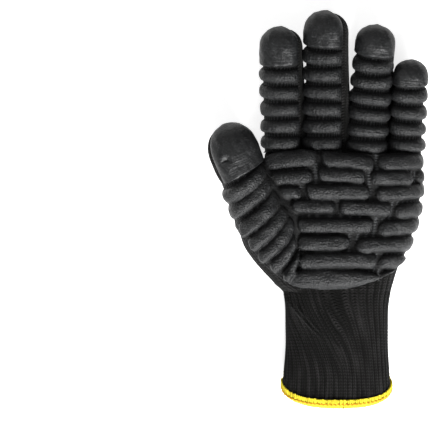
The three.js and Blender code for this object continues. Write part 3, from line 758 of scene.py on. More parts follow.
def stall_places(finger, points):
    """A finger's own places of points: distance from its root, across its line and turn round it."""
    root, length, half, _, _, yaw, roll, _ = FINGERS[finger]
    yaw, roll = math.radians(yaw), math.radians(roll)
    x, y, z = (points - [root, PALM_LENGTH, FINGER_RISE + half * FINGER_DEPTH]).T
    radius = length / FINGER_CURL
    bend = np.arcsin(np.clip((x * math.sin(yaw) + y * math.cos(yaw)) / radius, -0.5, 0.5))
    across = x * math.cos(yaw) - y * math.sin(yaw)
    up = z - radius * (1 - np.cos(bend))
    return radius * bend, across, np.arctan2(across, up) + roll


# The hand's knit starts here, just inside the cuff's edge.
WRIST = 1.0
# Edge of the voxels that fuse the liner and the coating's film
VOXEL = 1.2


def knit_hand():
    """The hand, thumb and fingers of the liner, open at the wrist. Its ribs flatten out over the hand,
    and near the wrist it follows the cuff."""
    shells = [lofted(hand_point, HAND_STATIONS, 0), thumb_shell()]
    made = fused("hand_knit", shells + [stall_shell(finger) for finger in FINGERS], VOXEL, 3)
    made = keep_faces(made, points_of(made.data)[:, 1] > WRIST)
    mesh = made.data
    points, normals = points_of(mesh), normals_of(mesh)
    wale = wale_of(points)
    ribbed = 1 - smooth_step(points[:, 1], 12, 45)
    at_wrist = 1 - smooth_step(points[:, 1], 0.5, 7)
    points += (hand_point(points[:, 1], turn_of(points)) - points) * at_wrist[:, None]
    dive = WRIST_DIVE * (1 - smooth_step(points[:, 1], WRIST, 2.4))
    moved = points - normals * (rib_fall(wale) * ribbed + dive)[:, None]
    moved[:, 2] = np.maximum(moved[:, 2], ON_FLOOR)
    set_points(mesh, moved)
    around, course = 2 * wale, course_of(points)
    period = np.full(len(points), 2.0 * WALES)
    for finger, shape in FINGERS.items():
        s, across, turn = stall_places(finger, points)
        on = (s > 1.0) & (np.abs(across) < shape.half + 1.4)
        wales = round(2 * math.pi * shape.half * 0.93 / STALL_WALE)
        around[on] = wales * (turn[on] / (2 * math.pi) + 0.5)
        course[on] = (PALM_LENGTH + s[on]) / COURSE
        period[on] = wales
    add_knit(mesh, around, course, period)
    return walled(made, WALL)


# Coating

# A pad's place up the palm, its slant and its two ends across it, as shares of the palm, how much wider
# than usual it is, how far its middle arches up and how far its ends narrow
PALM_PADS = [
    (0.922, 0.048, -0.47, -0.125, 1.16, 0, 0),
    (0.962, -0.045, -0.1, 0.225, 1.0, 0, 0),
    (0.928, 0.02, 0.25, 0.6, 1.0, 0, 0),
    (0.805, 0.03, -0.45, -0.15, 0.92, 0, 0),
    (0.85, -0.02, -0.12, 0.17, 0.92, 0, 0),
    (0.82, 0.0, 0.205, 0.46, 0.92, 0, 0),
    (0.835, 0.0, 0.5, 0.6, 0.9, 0, 0),
    (0.715, 0.005, -0.4, -0.22, 0.85, 0, 0),
    (0.725, -0.005, -0.19, 0.2, 0.98, 0, 0),
    (0.705, 0.045, 0.235, 0.6, 0.95, 0, 0),
    (0.62, 0.0, -0.27, -0.01, 0.85, 0, 0),
    (0.615, -0.015, 0.01, 0.33, 0.95, 0, 0),
    (0.585, 0.025, 0.355, 0.6, 0.95, 0, 0),
    (0.487, 0.0, -0.235, 0.22, 0.95, 0, 0),
    (0.465, 0.035, 0.25, 0.6, 1.0, 0, 0),
    (0.365, 0.0, -0.235, 0.076, 0.98, 0, 0),
    (0.35, 0.012, 0.11, 0.6, 0.98, 0, 0),
    (0.232, 0.0, -0.225, 0.235, 1.0, 0.015, 0),
    (0.232, 0.0, 0.25, 0.41, 0.9, 0, 0),
    (0.142, 0.02, 0.262, 0.37, 0.5, 0, 0.3),
    (0.112, 0.01, -0.335, 0.25, 1.28, 0, 0.72),
]
PAD_WIDTH = 10.2
PAD_HEIGHT = 4.9
# How much lower a pad is where it wraps round the hand's or the thumb's side
SIDE_FALL = 0.45
WRAP_TURN = math.radians(104)

# The section that a strip follows, its ends across it, how much wider it is than usual, and how far its
# right end sinks away
STRIPS = [
    (1.24, 0.3, 0.76, 0.92, 0.0),
    (2.07, 0.2, 0.71, 1.04, 0.0),
    (3, 0.13, 0.76, 1.02, 0.5),
    (4, 0.11, 0.78, 1.02, 0.7),
    (5, 0.06, 0.82, 1.02, 0.75),
    (6, 0.0, 0.9, 1.02, 0.75),
    (7, 0.0, 0.96, 1.0, 0.75),
]
STRIP_WIDTH = 9.6
STRIP_BEND = 0.5

# The film's outline in plan. Its last two corners lie beyond the fingers.
FILM_EDGE = np.array([
    (-0.95, 0.7), (-0.7, 0.55), (-0.645, 0.455), (-0.6, 0.362), (-0.549, 0.286), (-0.49, 0.222),
    (-0.425, 0.163), (-0.354, 0.108), (-0.3, 0.076), (-0.24, 0.056), (-0.1, 0.046), (0.06, 0.051),
    (0.22, 0.092), (0.31, 0.132), (0.37, 0.17), (0.42, 0.215), (0.46, 0.26), (0.7, 0.29), (0.7, 1.2),
    (-0.95, 1.2),
]) * [PALM_WIDTH, PALM_LENGTH]
FILM_LOW = 8.0
# The valley between the ball of the thumb and the palm, where the rubber lies thick over the knit
VALLEY = np.array([[-36.0, 68.0], [-28.0, 52.0], [-24.0, 34.0]])

PAD_STATIONS = 30
PAD_SIDES = 22
# Exponents that round a pad's ends in plan, its sides and its top, and how far its foot reaches down
END_ROUNDNESS, SIDE_ROUNDNESS, TOP_ROUNDNESS, FOOT = 2.6, 2.5, 2.1, -0.15


def pad_line(s0, s1, turn0, turn1, bend, arch, share):
    """Places along a surface and turns round it at shares of a pad's length."""
    ends = (2 * share - 1) ** 2
    along = s0 + (s1 - s0) * share + bend * share ** 3 + arch * (1 - ends)
    return along, turn0 + (turn1 - turn0) * share


def pad(at, s0, s1, turn0, turn1, width, scale=1.0, bend=0.0, arch=0.0, lens=0.0, fade=0.0):
    """A rounded pillow along a line on a surface, and the line's own points. scale is one millimetre in
    the surface's own measure. bend and arch curve the line, lens narrows its ends, and fade sinks its
    right end."""
    line = [s0, s1, turn0, turn1, bend, arch]
    along, turns = pad_line(*line, np.linspace(0, 1, 41))
    middle = at(along, turns, PAD_HEIGHT / 2)
    length = np.linalg.norm(np.diff(middle, axis=0), axis=1).sum()
    inset = min(width / 2, 0.45 * length) / length
    angles = np.linspace(-math.pi / 2, math.pi / 2, PAD_STATIONS)
    share = (np.sin(angles) + 1) / 2
    near = np.minimum(np.minimum(share, 1 - share) / inset, 1)
    girth = (1 - (1 - near) ** END_ROUNDNESS) ** (1 / END_ROUNDNESS)
    girth = girth * (1 - lens * (2 * share - 1) ** 2)
    rise = (1 - (1 - near) ** 3) ** 0.6
    along, turns = pad_line(*line, share)
    round_about = np.linspace(0, 2 * math.pi, PAD_SIDES, endpoint=False)
    over, up = np.cos(round_about), np.sin(round_about)
    over = signed_power(over, 2 / SIDE_ROUNDNESS)
    up = np.where(up > 0, signed_power(up, 2 / TOP_ROUNDNESS), FOOT)
    half = width / 2 * girth
    height = PAD_HEIGHT * (1 - SIDE_FALL * smooth_step(np.abs(turns), 0.9, 1.6))
    height = height * (1 - fade * smooth_step(share, 0.5, 1.0))
    lift = FILM + CLEARANCE + up[None] * (rise * height)[:, None]
    places = along[:, None] + over[None] * half[:, None] * scale
    return tube(at(places, turns[:, None], lift)), middle


def turn_at(x, y):
    """How far round the hand its surface passes x, at y."""
    middle, half = (float(v) for v in hand_row(np.array(y))[:2])
    share = (x - middle) / half
    if abs(share) >= 1:
        return math.copysign(WRAP_TURN, share)
    return math.asin(float(signed_power(share, UPPER_ROUNDNESS / 2)))


def palm_pad(row):
    """A pad of the palm from its row of PALM_PADS."""
    at, slant, start, end, swell, arch, lens = row
    s0, s1 = at * PALM_LENGTH, (at + slant) * PALM_LENGTH
    turns = turn_at(start * PALM_WIDTH, s0), turn_at(end * PALM_WIDTH, s1)
    return pad(hand_point, s0, s1, *turns, PAD_WIDTH * swell, arch=arch * PALM_LENGTH, lens=lens)


def thumb_strip(row):
    """A strip over the ball of the thumb from its row of STRIPS."""
    section, start, end, swell, fade = row
    step = float(np.linalg.norm(thumb_point(section - 0.5, 0.0) - thumb_point(section + 0.5, 0.0)))
    turns = (
        math.asin(float(signed_power(2 * share - 1, UPPER_ROUNDNESS / 2))) for share in (start, end)
    )
    width = STRIP_WIDTH * swell
    return pad(thumb_point, section, section, *turns, width, 1 / step, STRIP_BEND, fade=fade)


def within(outline, x, y):
    """Whether points lie inside an outline in plan."""
    inside = np.zeros(len(x), dtype=bool)
    for (x0, y0), (x1, y1) in zip(outline, np.roll(outline, -1, 0)):
        crosses = (y0 > y) != (y1 > y)
        at = x0 + (y - y0) * (x1 - x0) / (y1 - y0 if y1 != y0 else 1e-9)
        inside ^= crosses & (x < at)
    return inside


def past_thumb_cut(points):
    """How far points lie beyond the section where the thumb's tip leaves the hand."""
    x, y, _, plan = THUMB_ROWS[THUMB_CUT][:4]
    way = np.array([-math.sin(math.radians(plan)), math.cos(math.radians(plan))])
    return (points[:, :2] - [x, y]) @ way


def distance_to(line, points):
    """How far points are in plan from a line through corners."""
    nearest = np.full(len(points), np.inf)
    for start, end in zip(line, line[1:]):
        way = end - start
        share = np.clip((points[:, :2] - start) @ way / (way @ way), 0, 1)
        away = np.linalg.norm(points[:, :2] - start - share[:, None] * way, axis=1)
        nearest = np.minimum(nearest, away)
    return nearest


def relief(points, base):
    """How high points stand above a smooth base."""
    faces = [list(p.vertices) for p in base.polygons]
    tree = BVHTree.FromPolygons(placed(points_of(base)).tolist(), faces)
    return np.array([tree.find_nearest(p)[3] for p in placed(points).tolist()]) / MM


def pad_places(points, lines):
    """For each point the nearest pad's own coordinates: along it, with each pad's far from the last's,
    and across it."""
    tree = KDTree(sum(len(line) for line in lines))
    centres, ways, runs = [], [], []
    for k, line in enumerate(lines):
        steps = np.linalg.norm(np.diff(line, axis=0), axis=1)
        run = np.concatenate([[0], np.cumsum(steps)]) + 200 * k
        way = np.gradient(line, axis=0)
        way /= np.linalg.norm(way, axis=1)[:, None]
        centres.append(line)
        ways.append(way)
        runs.append(run)
    centres, ways, runs = np.concatenate(centres), np.concatenate(ways), np.concatenate(runs)
    for i, c in enumerate(centres.tolist()):
        tree.insert(c, i)
    tree.balance()
    nearest = np.array([tree.find(p)[1] for p in points.tolist()])
    away = points - centres[nearest]
    way = ways[nearest]
    side = np.cross([0.0, 0.0, 1.0], way)
    along = runs[nearest] + np.einsum("ij,ij->i", away, way)
    return along, np.einsum("ij,ij->i", away, side)


# Finer than the liner's, for the small rounds of the pads
PAD_VOXEL = 0.69
# Width and height of the bead along the film's edge, and how much of it the material sees as a crest,
# # which paints the bead lighter as a painted highlight along the edge
BEAD_WIDTH, BEAD_HEIGHT, BEAD_HIGHLIGHT = 0.9, 0.7, 2.8
VALLEY_WIDTH = 7


def palm_coating():
    """The film over the palm and the ball of the thumb with its pads, which runs on under the fingers'
    first ribs. Its crests are faintly creased and uneven."""
    full = CLEARANCE + FILM
    made_pads = [palm_pad(row) for row in PALM_PADS] + [thumb_strip(row) for row in STRIPS]
    thumb_stations = np.linspace(0, THUMB_CUT + 0.3, 90)
    film = [lofted(hand_point, HAND_STATIONS, full), lofted(thumb_point, thumb_stations, full)]
    for finger in FINGERS:
        film.append(lofted(partial(finger_point, finger), FINGER_ROOT_STATIONS, full - 0.15))
    base = fused("coating_base", film, VOXEL, 4)
    made = fused("palm_pads", film + [pillow for pillow, _ in made_pads], PAD_VOXEL, 2)
    points = points_of(made.data)
    kept = within(FILM_EDGE, points[:, 0], points[:, 1]) & (points[:, 2] > FILM_LOW)
    kept &= (points[:, 1] < PALM_LENGTH + 2.4) & (past_thumb_cut(points) < -0.3)
    made = keep_faces(made, kept)
    mesh = made.data
    points, normals = points_of(mesh), normals_of(mesh)
    height = relief(points, base.data)
    bpy.data.objects.remove(base)
    along, across = pad_places(points, [line for _, line in made_pads])
    crest = smooth_step(height, 1.2, 3.2)
    creases = ripple(np.stack([along / 12, across / 2.6, 0 * along], -1), 1.0, 8)
    bead = np.exp(-(distance_to(FILM_EDGE[:-2], points) / BEAD_WIDTH) ** 2)
    uneven = 0.035 * creases + 0.2 * ripple(points, 7, 9)
    lift = crest * uneven + BEAD_HEIGHT * bead * (1 - crest)
    set_points(mesh, points + normals * lift[:, None])
    # The bead's share of the relief only paints it lighter, as a painted highlight along the film's
    # edge.
    add_vectors(mesh, "pad", np.stack([along, across, height + BEAD_HIGHLIGHT * bead], -1))
    thin = 1 - np.exp(-(distance_to(VALLEY, points) / VALLEY_WIDTH) ** 2)
    add_knit(mesh, 2 * wale_of(points), points[:, 1] / COURSE, strength=thin)
    return walled(made, FILM - 0.1)


# The ribs of a finger's sleeve: their height, how far they bow towards the root at the sides, and how
# far they may slant
RIB_HEIGHT = 4.1
RIB_BOW = 1.5
RIB_SLANT = 0.5
# How far above its root each finger's first rib starts
SLEEVE_STARTS = {"index": 0.9, "middle": 0.3, "ring": -1.6, "little": -0.8}
# The cap's height, how much of it is lost over the tip, and how much of it is kept at its edges there
CAP_HEIGHT = 3.4
TIP_FALL = 0.15
TIP_WRAP = 1.0


def rib_tree():
    """Geometry Nodes: raises a finger's round ribs and the cap over its tip from its film. The film's
    points carry their distance from the root, their turn round the finger and the way outwards for one
    millimetre."""
    sizes = [
        "Rib start", "Rib pitch", "Rib height", "Rib bow", "Rib slant", "Cap start", "Cap height",
        "Tip start", "Tip end", "Tip fall", "Tip wrap", "Left edge", "Right edge", "Half width",
    ]
    sockets = {size: "Float" for size in sizes} | {"Seed": "Int", "Rubber": "Material"}
    tree, given = new_tree("moulded_ribs", sockets)
    known = {size: given[size] for size in sizes} | {"seed": given["Seed"]}
    for name, kind in (("station", "FLOAT"), ("turn", "FLOAT"), ("way", "FLOAT_VECTOR")):
        known[name] = node(tree, "GeometryNodeInputNamedAttribute", {"Name": name}, data_type=kind)
    # result, operation, values. A rib fills 0.39 of its pitch to each side of its middle.
    rib_sums = [
        ("cosine", "COSINE", "turn"),
        ("side fall", "SUBTRACT", 1.0, "cosine"),
        ("bowed", "MULTIPLY", "side fall", "Rib bow"),
        ("phase", "MULTIPLY_ADD", "station", 0.16, "seed"),
        ("wave", "SINE", "phase"),
        ("slant", "MULTIPLY", "wave", "Rib slant"),
        ("slanted", "MULTIPLY", "slant", "turn"),
        ("level", "SUBTRACT", "station", "bowed"),
        ("here", "ADD", "level", "slanted"),
        ("past start", "SUBTRACT", "here", "Rib start"),
        ("count", "DIVIDE", "past start", "Rib pitch"),
        ("number", "FLOOR", "count"),
        ("share", "FRACT", "count"),
        ("centred", "SUBTRACT", "share", 0.5),
        ("off", "ABSOLUTE", "centred"),
        ("off share", "DIVIDE", "off", 0.39),
        ("round off", "POWER", "off share", 2.5),
        ("rib base", "SUBTRACT", 1.0, "round off"),
        ("rib clear", "MAXIMUM", "rib base", 0.0),
        ("rib", "POWER", "rib clear", 0.6),
        ("before cap", "LESS_THAN", "here", "Cap start"),
        ("rib there", "MULTIPLY", "rib", "before cap"),
        ("cap foot", "SUBTRACT", "here", "Cap start"),
        ("around", "MULTIPLY", "turn", "Half width"),
        ("to the right", "GREATER_THAN", "turn", 0.0),
    ]
    for name, operation, *values in rib_sums:
        values = {i: known.get(value, value) for i, value in enumerate(values)}
        known[name] = node(tree, "ShaderNodeMath", values, operation=operation)
    height = node(
        tree, "FunctionNodeRandomValue",
        {2: 0.93, 3: 1.05, "ID": known["number"], "Seed": given["Seed"]}, data_type="FLOAT",
    ).outputs[1]
    cap = node(
        tree, "ShaderNodeMapRange", {"Value": known["cap foot"], "From Min": 0.2, "From Max": 2.6},
        interpolation_type="SMOOTHSTEP",
    )
    over_tip = node(
        tree, "ShaderNodeMapRange",
        {"Value": known["station"], "From Min": given["Tip start"], "From Max": given["Tip end"]},
        interpolation_type="SMOOTHSTEP",
    )
    edge = node(
        tree, "GeometryNodeSwitch",
        {"Switch": known["to the right"], "False": given["Left edge"], "True": given["Right edge"]},
        input_type="FLOAT",
    )
    known |= {"height": height, "cap": cap, "over tip": over_tip, "edge": edge}
    rise_sums = [
        ("rib rise", "MULTIPLY", "rib there", "Rib height"),
        ("rib rises", "MULTIPLY", "rib rise", "height"),
        ("cap round", "POWER", "cap", 0.6),
        ("tip drop", "MULTIPLY", "over tip", "Tip fall"),
        ("tip left", "SUBTRACT", 1.0, "tip drop"),
        ("cap tip", "MULTIPLY", "cap round", "tip left"),
        ("rise", "MULTIPLY_ADD", "cap tip", "Cap height", "rib rises"),
        ("edge share", "DIVIDE", "turn", "edge"),
        ("edge round", "POWER", "edge share", 2.3),
        ("edge left", "SUBTRACT", 1.0, "edge round"),
        ("edge clear", "MAXIMUM", "edge left", 0.0),
        ("edge fall", "POWER", "edge clear", 0.62),
        ("edge gap", "SUBTRACT", 1.0, "edge fall"),
        ("tip fill", "MULTIPLY", "over tip", "Tip wrap"),
        ("edge filled", "MULTIPLY_ADD", "edge gap", "tip fill", "edge fall"),
        ("full rise", "MULTIPLY", "rise", "edge filled"),
    ]
    for name, operation, *values in rise_sums:
        values = {i: known.get(value, value) for i, value in enumerate(values)}
        known[name] = node(tree, "ShaderNodeMath", values, operation=operation)
    offset = node(
        tree, "ShaderNodeVectorMath", {0: known["way"], "Scale": known["full rise"]}, operation="SCALE"
    )
    raised = node(tree, "GeometryNodeSetPosition", {"Geometry": given["Base"], "Offset": offset})
    place = node(
        tree, "ShaderNodeCombineXYZ", {0: known["around"], 1: known["station"], 2: known["full rise"]}
    )
    stored = node(
        tree, "GeometryNodeStoreNamedAttribute", {"Geometry": raised, "Name": "pad", "Value": place},
        data_type="FLOAT_VECTOR", domain="POINT",
    )
    return closed_tree(tree, stored, given["Rubber"])


# How thick a sleeve's film still is at its left and right edges
EDGE_FILM = 0.3


def moulded(name, at, stations, turns, station_mm, half, sizes):
    """A sleeve of film over a surface, thin at its edges, raised into its ribs and cap by the tree.
    station_mm turns the surface's stations into millimetres."""
    s, turn = np.meshgrid(stations, turns, indexing="ij")
    edge = np.where(turn > 0, turns[-1], turns[0])
    film = EDGE_FILM + (FILM - EDGE_FILM) * (1 - np.abs(turn / edge) ** 6)
    outer, one_up = at(s, turn, CLEARANCE + film), at(s, turn, CLEARANCE + film + 1)
    inner = at(s, turn, 0.15)
    points, faces = shell(outer, inner)
    made = object_of(name, mesh_of(name, points, faces))
    mesh = made.data
    places = station_mm(s)
    flat = np.zeros_like(outer)
    add_vectors(mesh, "station", np.concatenate([places, places]), "FLOAT")
    add_vectors(mesh, "turn", np.concatenate([turn, turn]), "FLOAT")
    add_vectors(mesh, "way", np.concatenate([one_up - outer, flat]) * MM)
    below_cap = 1 - smooth_step(places, sizes["Cap start"], sizes["Cap start"] + 1.5)
    knit = np.stack([turn * half / STALL_WALE, places / COURSE, below_cap + 0 * turn], -1)
    add_vectors(mesh, "knit", np.concatenate([knit, knit]))
    values = {
        "Rib height": RIB_HEIGHT, "Rib bow": RIB_BOW, "Rib slant": RIB_SLANT,
        "Cap height": CAP_HEIGHT, "Tip fall": TIP_FALL, "Tip wrap": TIP_WRAP,
        "Left edge": float(turns[0]), "Right edge": float(turns[-1]),
        "Half width": half, "Rubber": foam,
    } | sizes
    made = grown(made, RIBS, values)
    points, normals = points_of(made.data), normals_of(made.data)
    places = np.empty(len(points) * 3)
    made.data.attributes["pad"].data.foreach_get("vector", places)
    # The crests are a little uneven. The second half of the points is the inner face.
    crest = smooth_step(places[2::3], 1.0, 3.0)
    crest *= np.repeat([1.0, 0.0], len(points) // 2)
    set_points(made.data, points + normals * (crest * 0.16 * ripple(points, 6, 3))[:, None])
    return made


def sleeve_turns(digit, left_count, right_count):
    """Turns from a sleeve's left edge over its middle to its right edge."""
    left, right = (math.radians(side) for side in SLEEVE_SIDES[digit])
    return np.concatenate([np.linspace(left, 0, left_count)[:-1], np.linspace(0, right, right_count)])


def finger_sleeve(finger, seed):
    """A finger's half sleeve, with its ribs and its cap."""
    _, length, half, taper, cap, _, _, ribs = FINGERS[finger]
    start = SLEEVE_STARTS[finger]
    return moulded(
        finger + "_ribs",
        partial(finger_point, finger),
        finger_stations(finger, start, int(length / 0.5)),
        sleeve_turns(finger, 50, 48),
        lambda s: s, half,
        {
            "Rib start": start, "Rib pitch": (length - cap - start) / ribs, "Cap start": length - cap,
            "Tip start": length - half * taper, "Tip end": length, "Seed": seed,
        },
    )


# Millimetres from one section of the thumb's tip to the next
THUMB_STEP = 12.5


def thumb_cap():
    """The cap over the thumb's tip: a sleeve without ribs, since its pitch is longer than the thumb."""
    made = moulded(
        "thumb_tip_cap",
        lambda order, turn, lift: thumb_point(order, turn + THUMB_ROLL, lift),
        np.concatenate([
            np.linspace(THUMB_CUT, THUMB_ROOT, 48),
            THUMB_ROOT + np.linspace(0, TIP_END, 56)[1:],
        ]),
        sleeve_turns("thumb", 55, 60),
        lambda order: (order - THUMB_CUT) * THUMB_STEP, THUMB_ROWS[THUMB_ROOT][2],
        {
            "Rib start": 0.0, "Rib pitch": 1000.0, "Cap start": -1.6, "Rib bow": 0.0,
            "Tip start": THUMB_STEP, "Tip end": 2 * THUMB_STEP, "Seed": 9,
        },
    )
    return marked(made)


# A mark pressed into the thumb's cap, and a crease that stands up: middle, half length, reach of the
# lower and of the upper slope, depth
THUMB_MARKS = [
    ((-72.3, 87.6), 2.9, 0.8, 2.6, 1.3),
    ((-59.9, 101.8), 2.0, 0.6, 0.5, -0.7),
]


def marked(made):
    """The thumb's cap with its short crooked marks."""
    for middle, long, low, high, depth in THUMB_MARKS:
        points, normals = points_of(made.data), normals_of(made.data)
        x, y = (points[:, :2] - middle).T
        y = y + 0.12 * x ** 2
        slope = np.where(y < 0, y / low, y / high)
        press = depth * np.exp(-(x / long) ** 2 - slope ** 2) * (normals[:, 2] > 0.2)
        set_points(made.data, points - normals * press[:, None])
    return made


# Hem

# The hem's half width, its middle off the knit's face, its depth with and without the yarn, how far it
# stands out below the cuff, its wall, and exponents that round it
HEM_HALF_WIDTH = 1.95
HEM_MIDDLE = -1.1
HEM_DEPTH = 4.6
BAND_DEPTH = 3.4
HEM_OVERHANG = 0.6
HEM_WALL = 1.2
HEM_ROUNDNESS = 0.7
HEM_FULLNESS = 0.55
EDGE_Y = -60.4
LOOPS = 132
YARN = 1.25
LOOP_SLANT = 0.9


def hem_point(turn, angle, proud=0.0, depth=HEM_DEPTH):
    """A point of the hem, angle going from inside the cuff over its edge to the outside."""
    turn, angle, proud = np.broadcast_arrays(turn, angle, proud)
    lift = HEM_MIDDLE + (HEM_HALF_WIDTH + proud) * signed_power(np.sin(angle), HEM_ROUNDNESS)
    along = depth - (depth + HEM_OVERHANG + proud) * np.abs(np.cos(angle)) ** HEM_FULLNESS
    point = hand_point(EDGE_Y + np.maximum(along, 0), turn, lift)
    point[..., 1] += np.minimum(along, 0)
    return point


def hem_band():
    """The bound edge under the yarn: a rounded U round the cuff's edge."""
    turns = np.interp(np.linspace(0, 1, 301)[:-1], ARC_SHARES, ARC_TURNS)
    angles = np.linspace(-math.pi / 2, math.pi / 2, 17)
    outer = hem_point(turns[None], angles[:, None], -YARN / 5, BAND_DEPTH)
    inner = hem_point(turns[None], angles[::-1, None], -HEM_WALL, BAND_DEPTH)
    return ring_mesh("hem_band", np.concatenate([outer, inner]))


def loop_tree():
    """Geometry Nodes: one slanted loop of yarn over the cuff's edge at each point of a path. The points
    carry the way along the path and the way out of the cuff."""
    sizes = ["Half width", "Depth", "Overhang", "Roundness", "Fullness", "Slant", "Yarn radius"]
    sockets = {size: "Float" for size in sizes} | {"Seed": "Int", "Yarn": "Material"}
    tree, given = new_tree("overlock_loops", sockets)
    steps = 12
    line = node(tree, "GeometryNodeMeshLine", {"Count": steps + 1})
    known = {size: given[size] for size in sizes}
    known["index"] = node(tree, "GeometryNodeInputIndex")
    # result, operation, values
    sums = [
        ("share", "DIVIDE", "index", float(steps)),
        ("centred", "SUBTRACT", "share", 0.5),
        ("angle", "MULTIPLY", "centred", math.pi),
        ("sine", "SINE", "angle"),
        ("cosine", "COSINE", "angle"),
        ("sign", "SIGN", "sine"),
        ("size", "ABSOLUTE", "sine"),
        ("side", "POWER", "size", "Roundness"),
        ("signed", "MULTIPLY", "side", "sign"),
        ("out", "MULTIPLY", "signed", "Half width"),
        ("leg", "MAXIMUM", "cosine", 0.0),
        ("full", "POWER", "leg", "Fullness"),
        ("reach", "ADD", "Depth", "Overhang"),
        ("down", "MULTIPLY", "full", "reach"),
        ("along", "SUBTRACT", "Depth", "down"),
        ("aside", "MULTIPLY", "sine", "Slant"),
    ]
    for name, operation, *values in sums:
        values = {i: known.get(value, value) for i, value in enumerate(values)}
        known[name] = node(tree, "ShaderNodeMath", values, operation=operation)
    place = node(tree, "ShaderNodeCombineXYZ", {0: known["aside"], 1: known["along"], 2: known["out"]})
    bent = node(tree, "GeometryNodeSetPosition", {"Geometry": line, "Position": place})
    wire = node(tree, "GeometryNodeMeshToCurve", {"Mesh": bent})
    section = node(
        tree, "GeometryNodeCurvePrimitiveCircle", {"Resolution": 6, "Radius": given["Yarn radius"]}
    )
    loop = node(
        tree, "GeometryNodeCurveToMesh", {"Curve": wire, "Profile Curve": section, "Fill Caps": True}
    )
    outwards, onwards = (
        node(tree, "GeometryNodeInputNamedAttribute", {"Name": name}, data_type="FLOAT_VECTOR")
        for name in ("outwards", "onwards")
    )
    upright = node(tree, "FunctionNodeAlignRotationToVector", {"Vector": outwards}, axis="Z")
    turned = node(
        tree, "FunctionNodeAlignRotationToVector", {"Rotation": upright, "Vector": onwards},
        axis="X", pivot_axis="Z",
    )
    scale = node(
        tree, "FunctionNodeRandomValue", {2: 0.88, 3: 1.06, "Seed": given["Seed"]}, data_type="FLOAT"
    ).outputs[1]
    loops = node(
        tree, "GeometryNodeInstanceOnPoints",
        {"Points": given["Base"], "Instance": loop, "Rotation": turned, "Scale": scale},
    )
    return closed_tree(tree, loops, given["Yarn"])


def hem_loops():
    """The overlock's yarn, loop after loop round the cuff's edge."""
    turns = np.interp((np.arange(LOOPS) + 0.5) / LOOPS, ARC_SHARES, ARC_TURNS)
    at = hand_point(EDGE_Y, turns, HEM_MIDDLE)
    before, after = (hand_point(EDGE_Y, turns + step, HEM_MIDDLE) for step in (-0.01, 0.01))
    onwards = after - before
    onwards[:, 1] = 0
    onwards /= np.linalg.norm(onwards, axis=1)[:, None]
    up_the_cuff = np.array([0.0, 1.0, 0.0])
    outwards = np.cross(onwards, up_the_cuff)
    if (outwards[:, 0] * at[:, 0]).sum() < 0:
        outwards = -outwards
    onwards = np.cross(up_the_cuff, outwards)
    made = object_of("hem_loops", mesh_of("hem_loops", at, []))
    add_vectors(made.data, "outwards", outwards)
    add_vectors(made.data, "onwards", onwards)
    made = grown(made, loop_tree(), {
        "Half width": (HEM_HALF_WIDTH + 0.05) * MM, "Depth": HEM_DEPTH * MM,
        "Overhang": HEM_OVERHANG * MM, "Roundness": HEM_ROUNDNESS, "Fullness": HEM_FULLNESS,
        "Slant": LOOP_SLANT * MM, "Yarn radius": YARN / 2 * MM, "Seed": 4, "Yarn": yellow,
    })
    points = points_of(made.data)
    points[:, 2] = np.maximum(points[:, 2], ON_FLOOR)
    set_points(made.data, points)
    return made


# Where the needle thread runs on the hem, and how thick it is
THREAD_ANGLE = math.radians(66)
THREAD_RADIUS = 0.3
# The six corners of a thread's section
CORNERS = np.linspace(0, 2 * math.pi, 7)[:-1]


def needle_thread():
    """The needle thread that runs along the loops, one stitch over two of them. Its amber, darker than
    the loops' yellow, is partly the thread's own colour and partly painted shade along the hem's upper
    border.
    """
    count = 5 * LOOPS
    turns = np.interp((np.arange(count) + 0.5) / count, ARC_SHARES, ARC_TURNS)
    stitches = 2 * math.pi * np.arange(count) / 10
    proud = 0.62 + 0.22 * np.sin(stitches)
    angle = THREAD_ANGLE + 0.05 * np.cos(stitches)
    return ring_mesh("needle_thread", hem_point(
        turns[None], angle[None] + 0.11 * np.cos(CORNERS)[:, None],
        proud[None] + THREAD_RADIUS * np.sin(CORNERS)[:, None],
    ))


# x and angle of each dark yarn end on the hem, its length and its lean
YARN_ENDS = [(-33.6, 50, 3.0, -1.2), (3.3, 36, 2.2, 0.9), (17.2, 34, 2.6, -0.5)]


def yarn_ends():
    """Short ends of the cuff's black yarn caught under the hem's loops."""
    points, faces = [], []
    for x, angle, length, lean in YARN_ENDS:
        middle = hem_point(turn_at(x, EDGE_Y), math.radians(angle), 0.75)
        share = np.linspace(-0.5, 0.5, 7)[:, None]
        path = middle + share * [lean, length, 0.0] + (0.25 - share ** 2) * [0.8, 0.0, 1.4]
        girth = THREAD_RADIUS * (1 - 0.5 * np.abs(2 * share))
        section = np.stack([np.cos(CORNERS), 0 * CORNERS, np.sin(CORNERS)], -1)
        rings = path[:, None] + girth[..., None] * section[None]
        tube_points, tube_faces = tube(rings)
        first = sum(len(p) for p in points)
        faces += [[i + first for i in f] for f in tube_faces]
        points.append(tube_points)
    return object_of("yarn_ends", mesh_of("yarn_ends", np.concatenate(points), faces))


# Materials

def new_material(name):
    """An empty material with its tree and its shader."""
    material = bpy.data.materials.new(name)
    material.use_nodes = True
    return material, material.node_tree, material.node_tree.nodes["Principled BSDF"]


def wire_up(tree, shader, colour, bump):
    """Gives the shader its colour and its fine relief."""
    tree.links.new(colour.outputs["Color"], shader.inputs["Base Color"])
    tree.links.new(bump.outputs["Normal"], shader.inputs["Normal"])


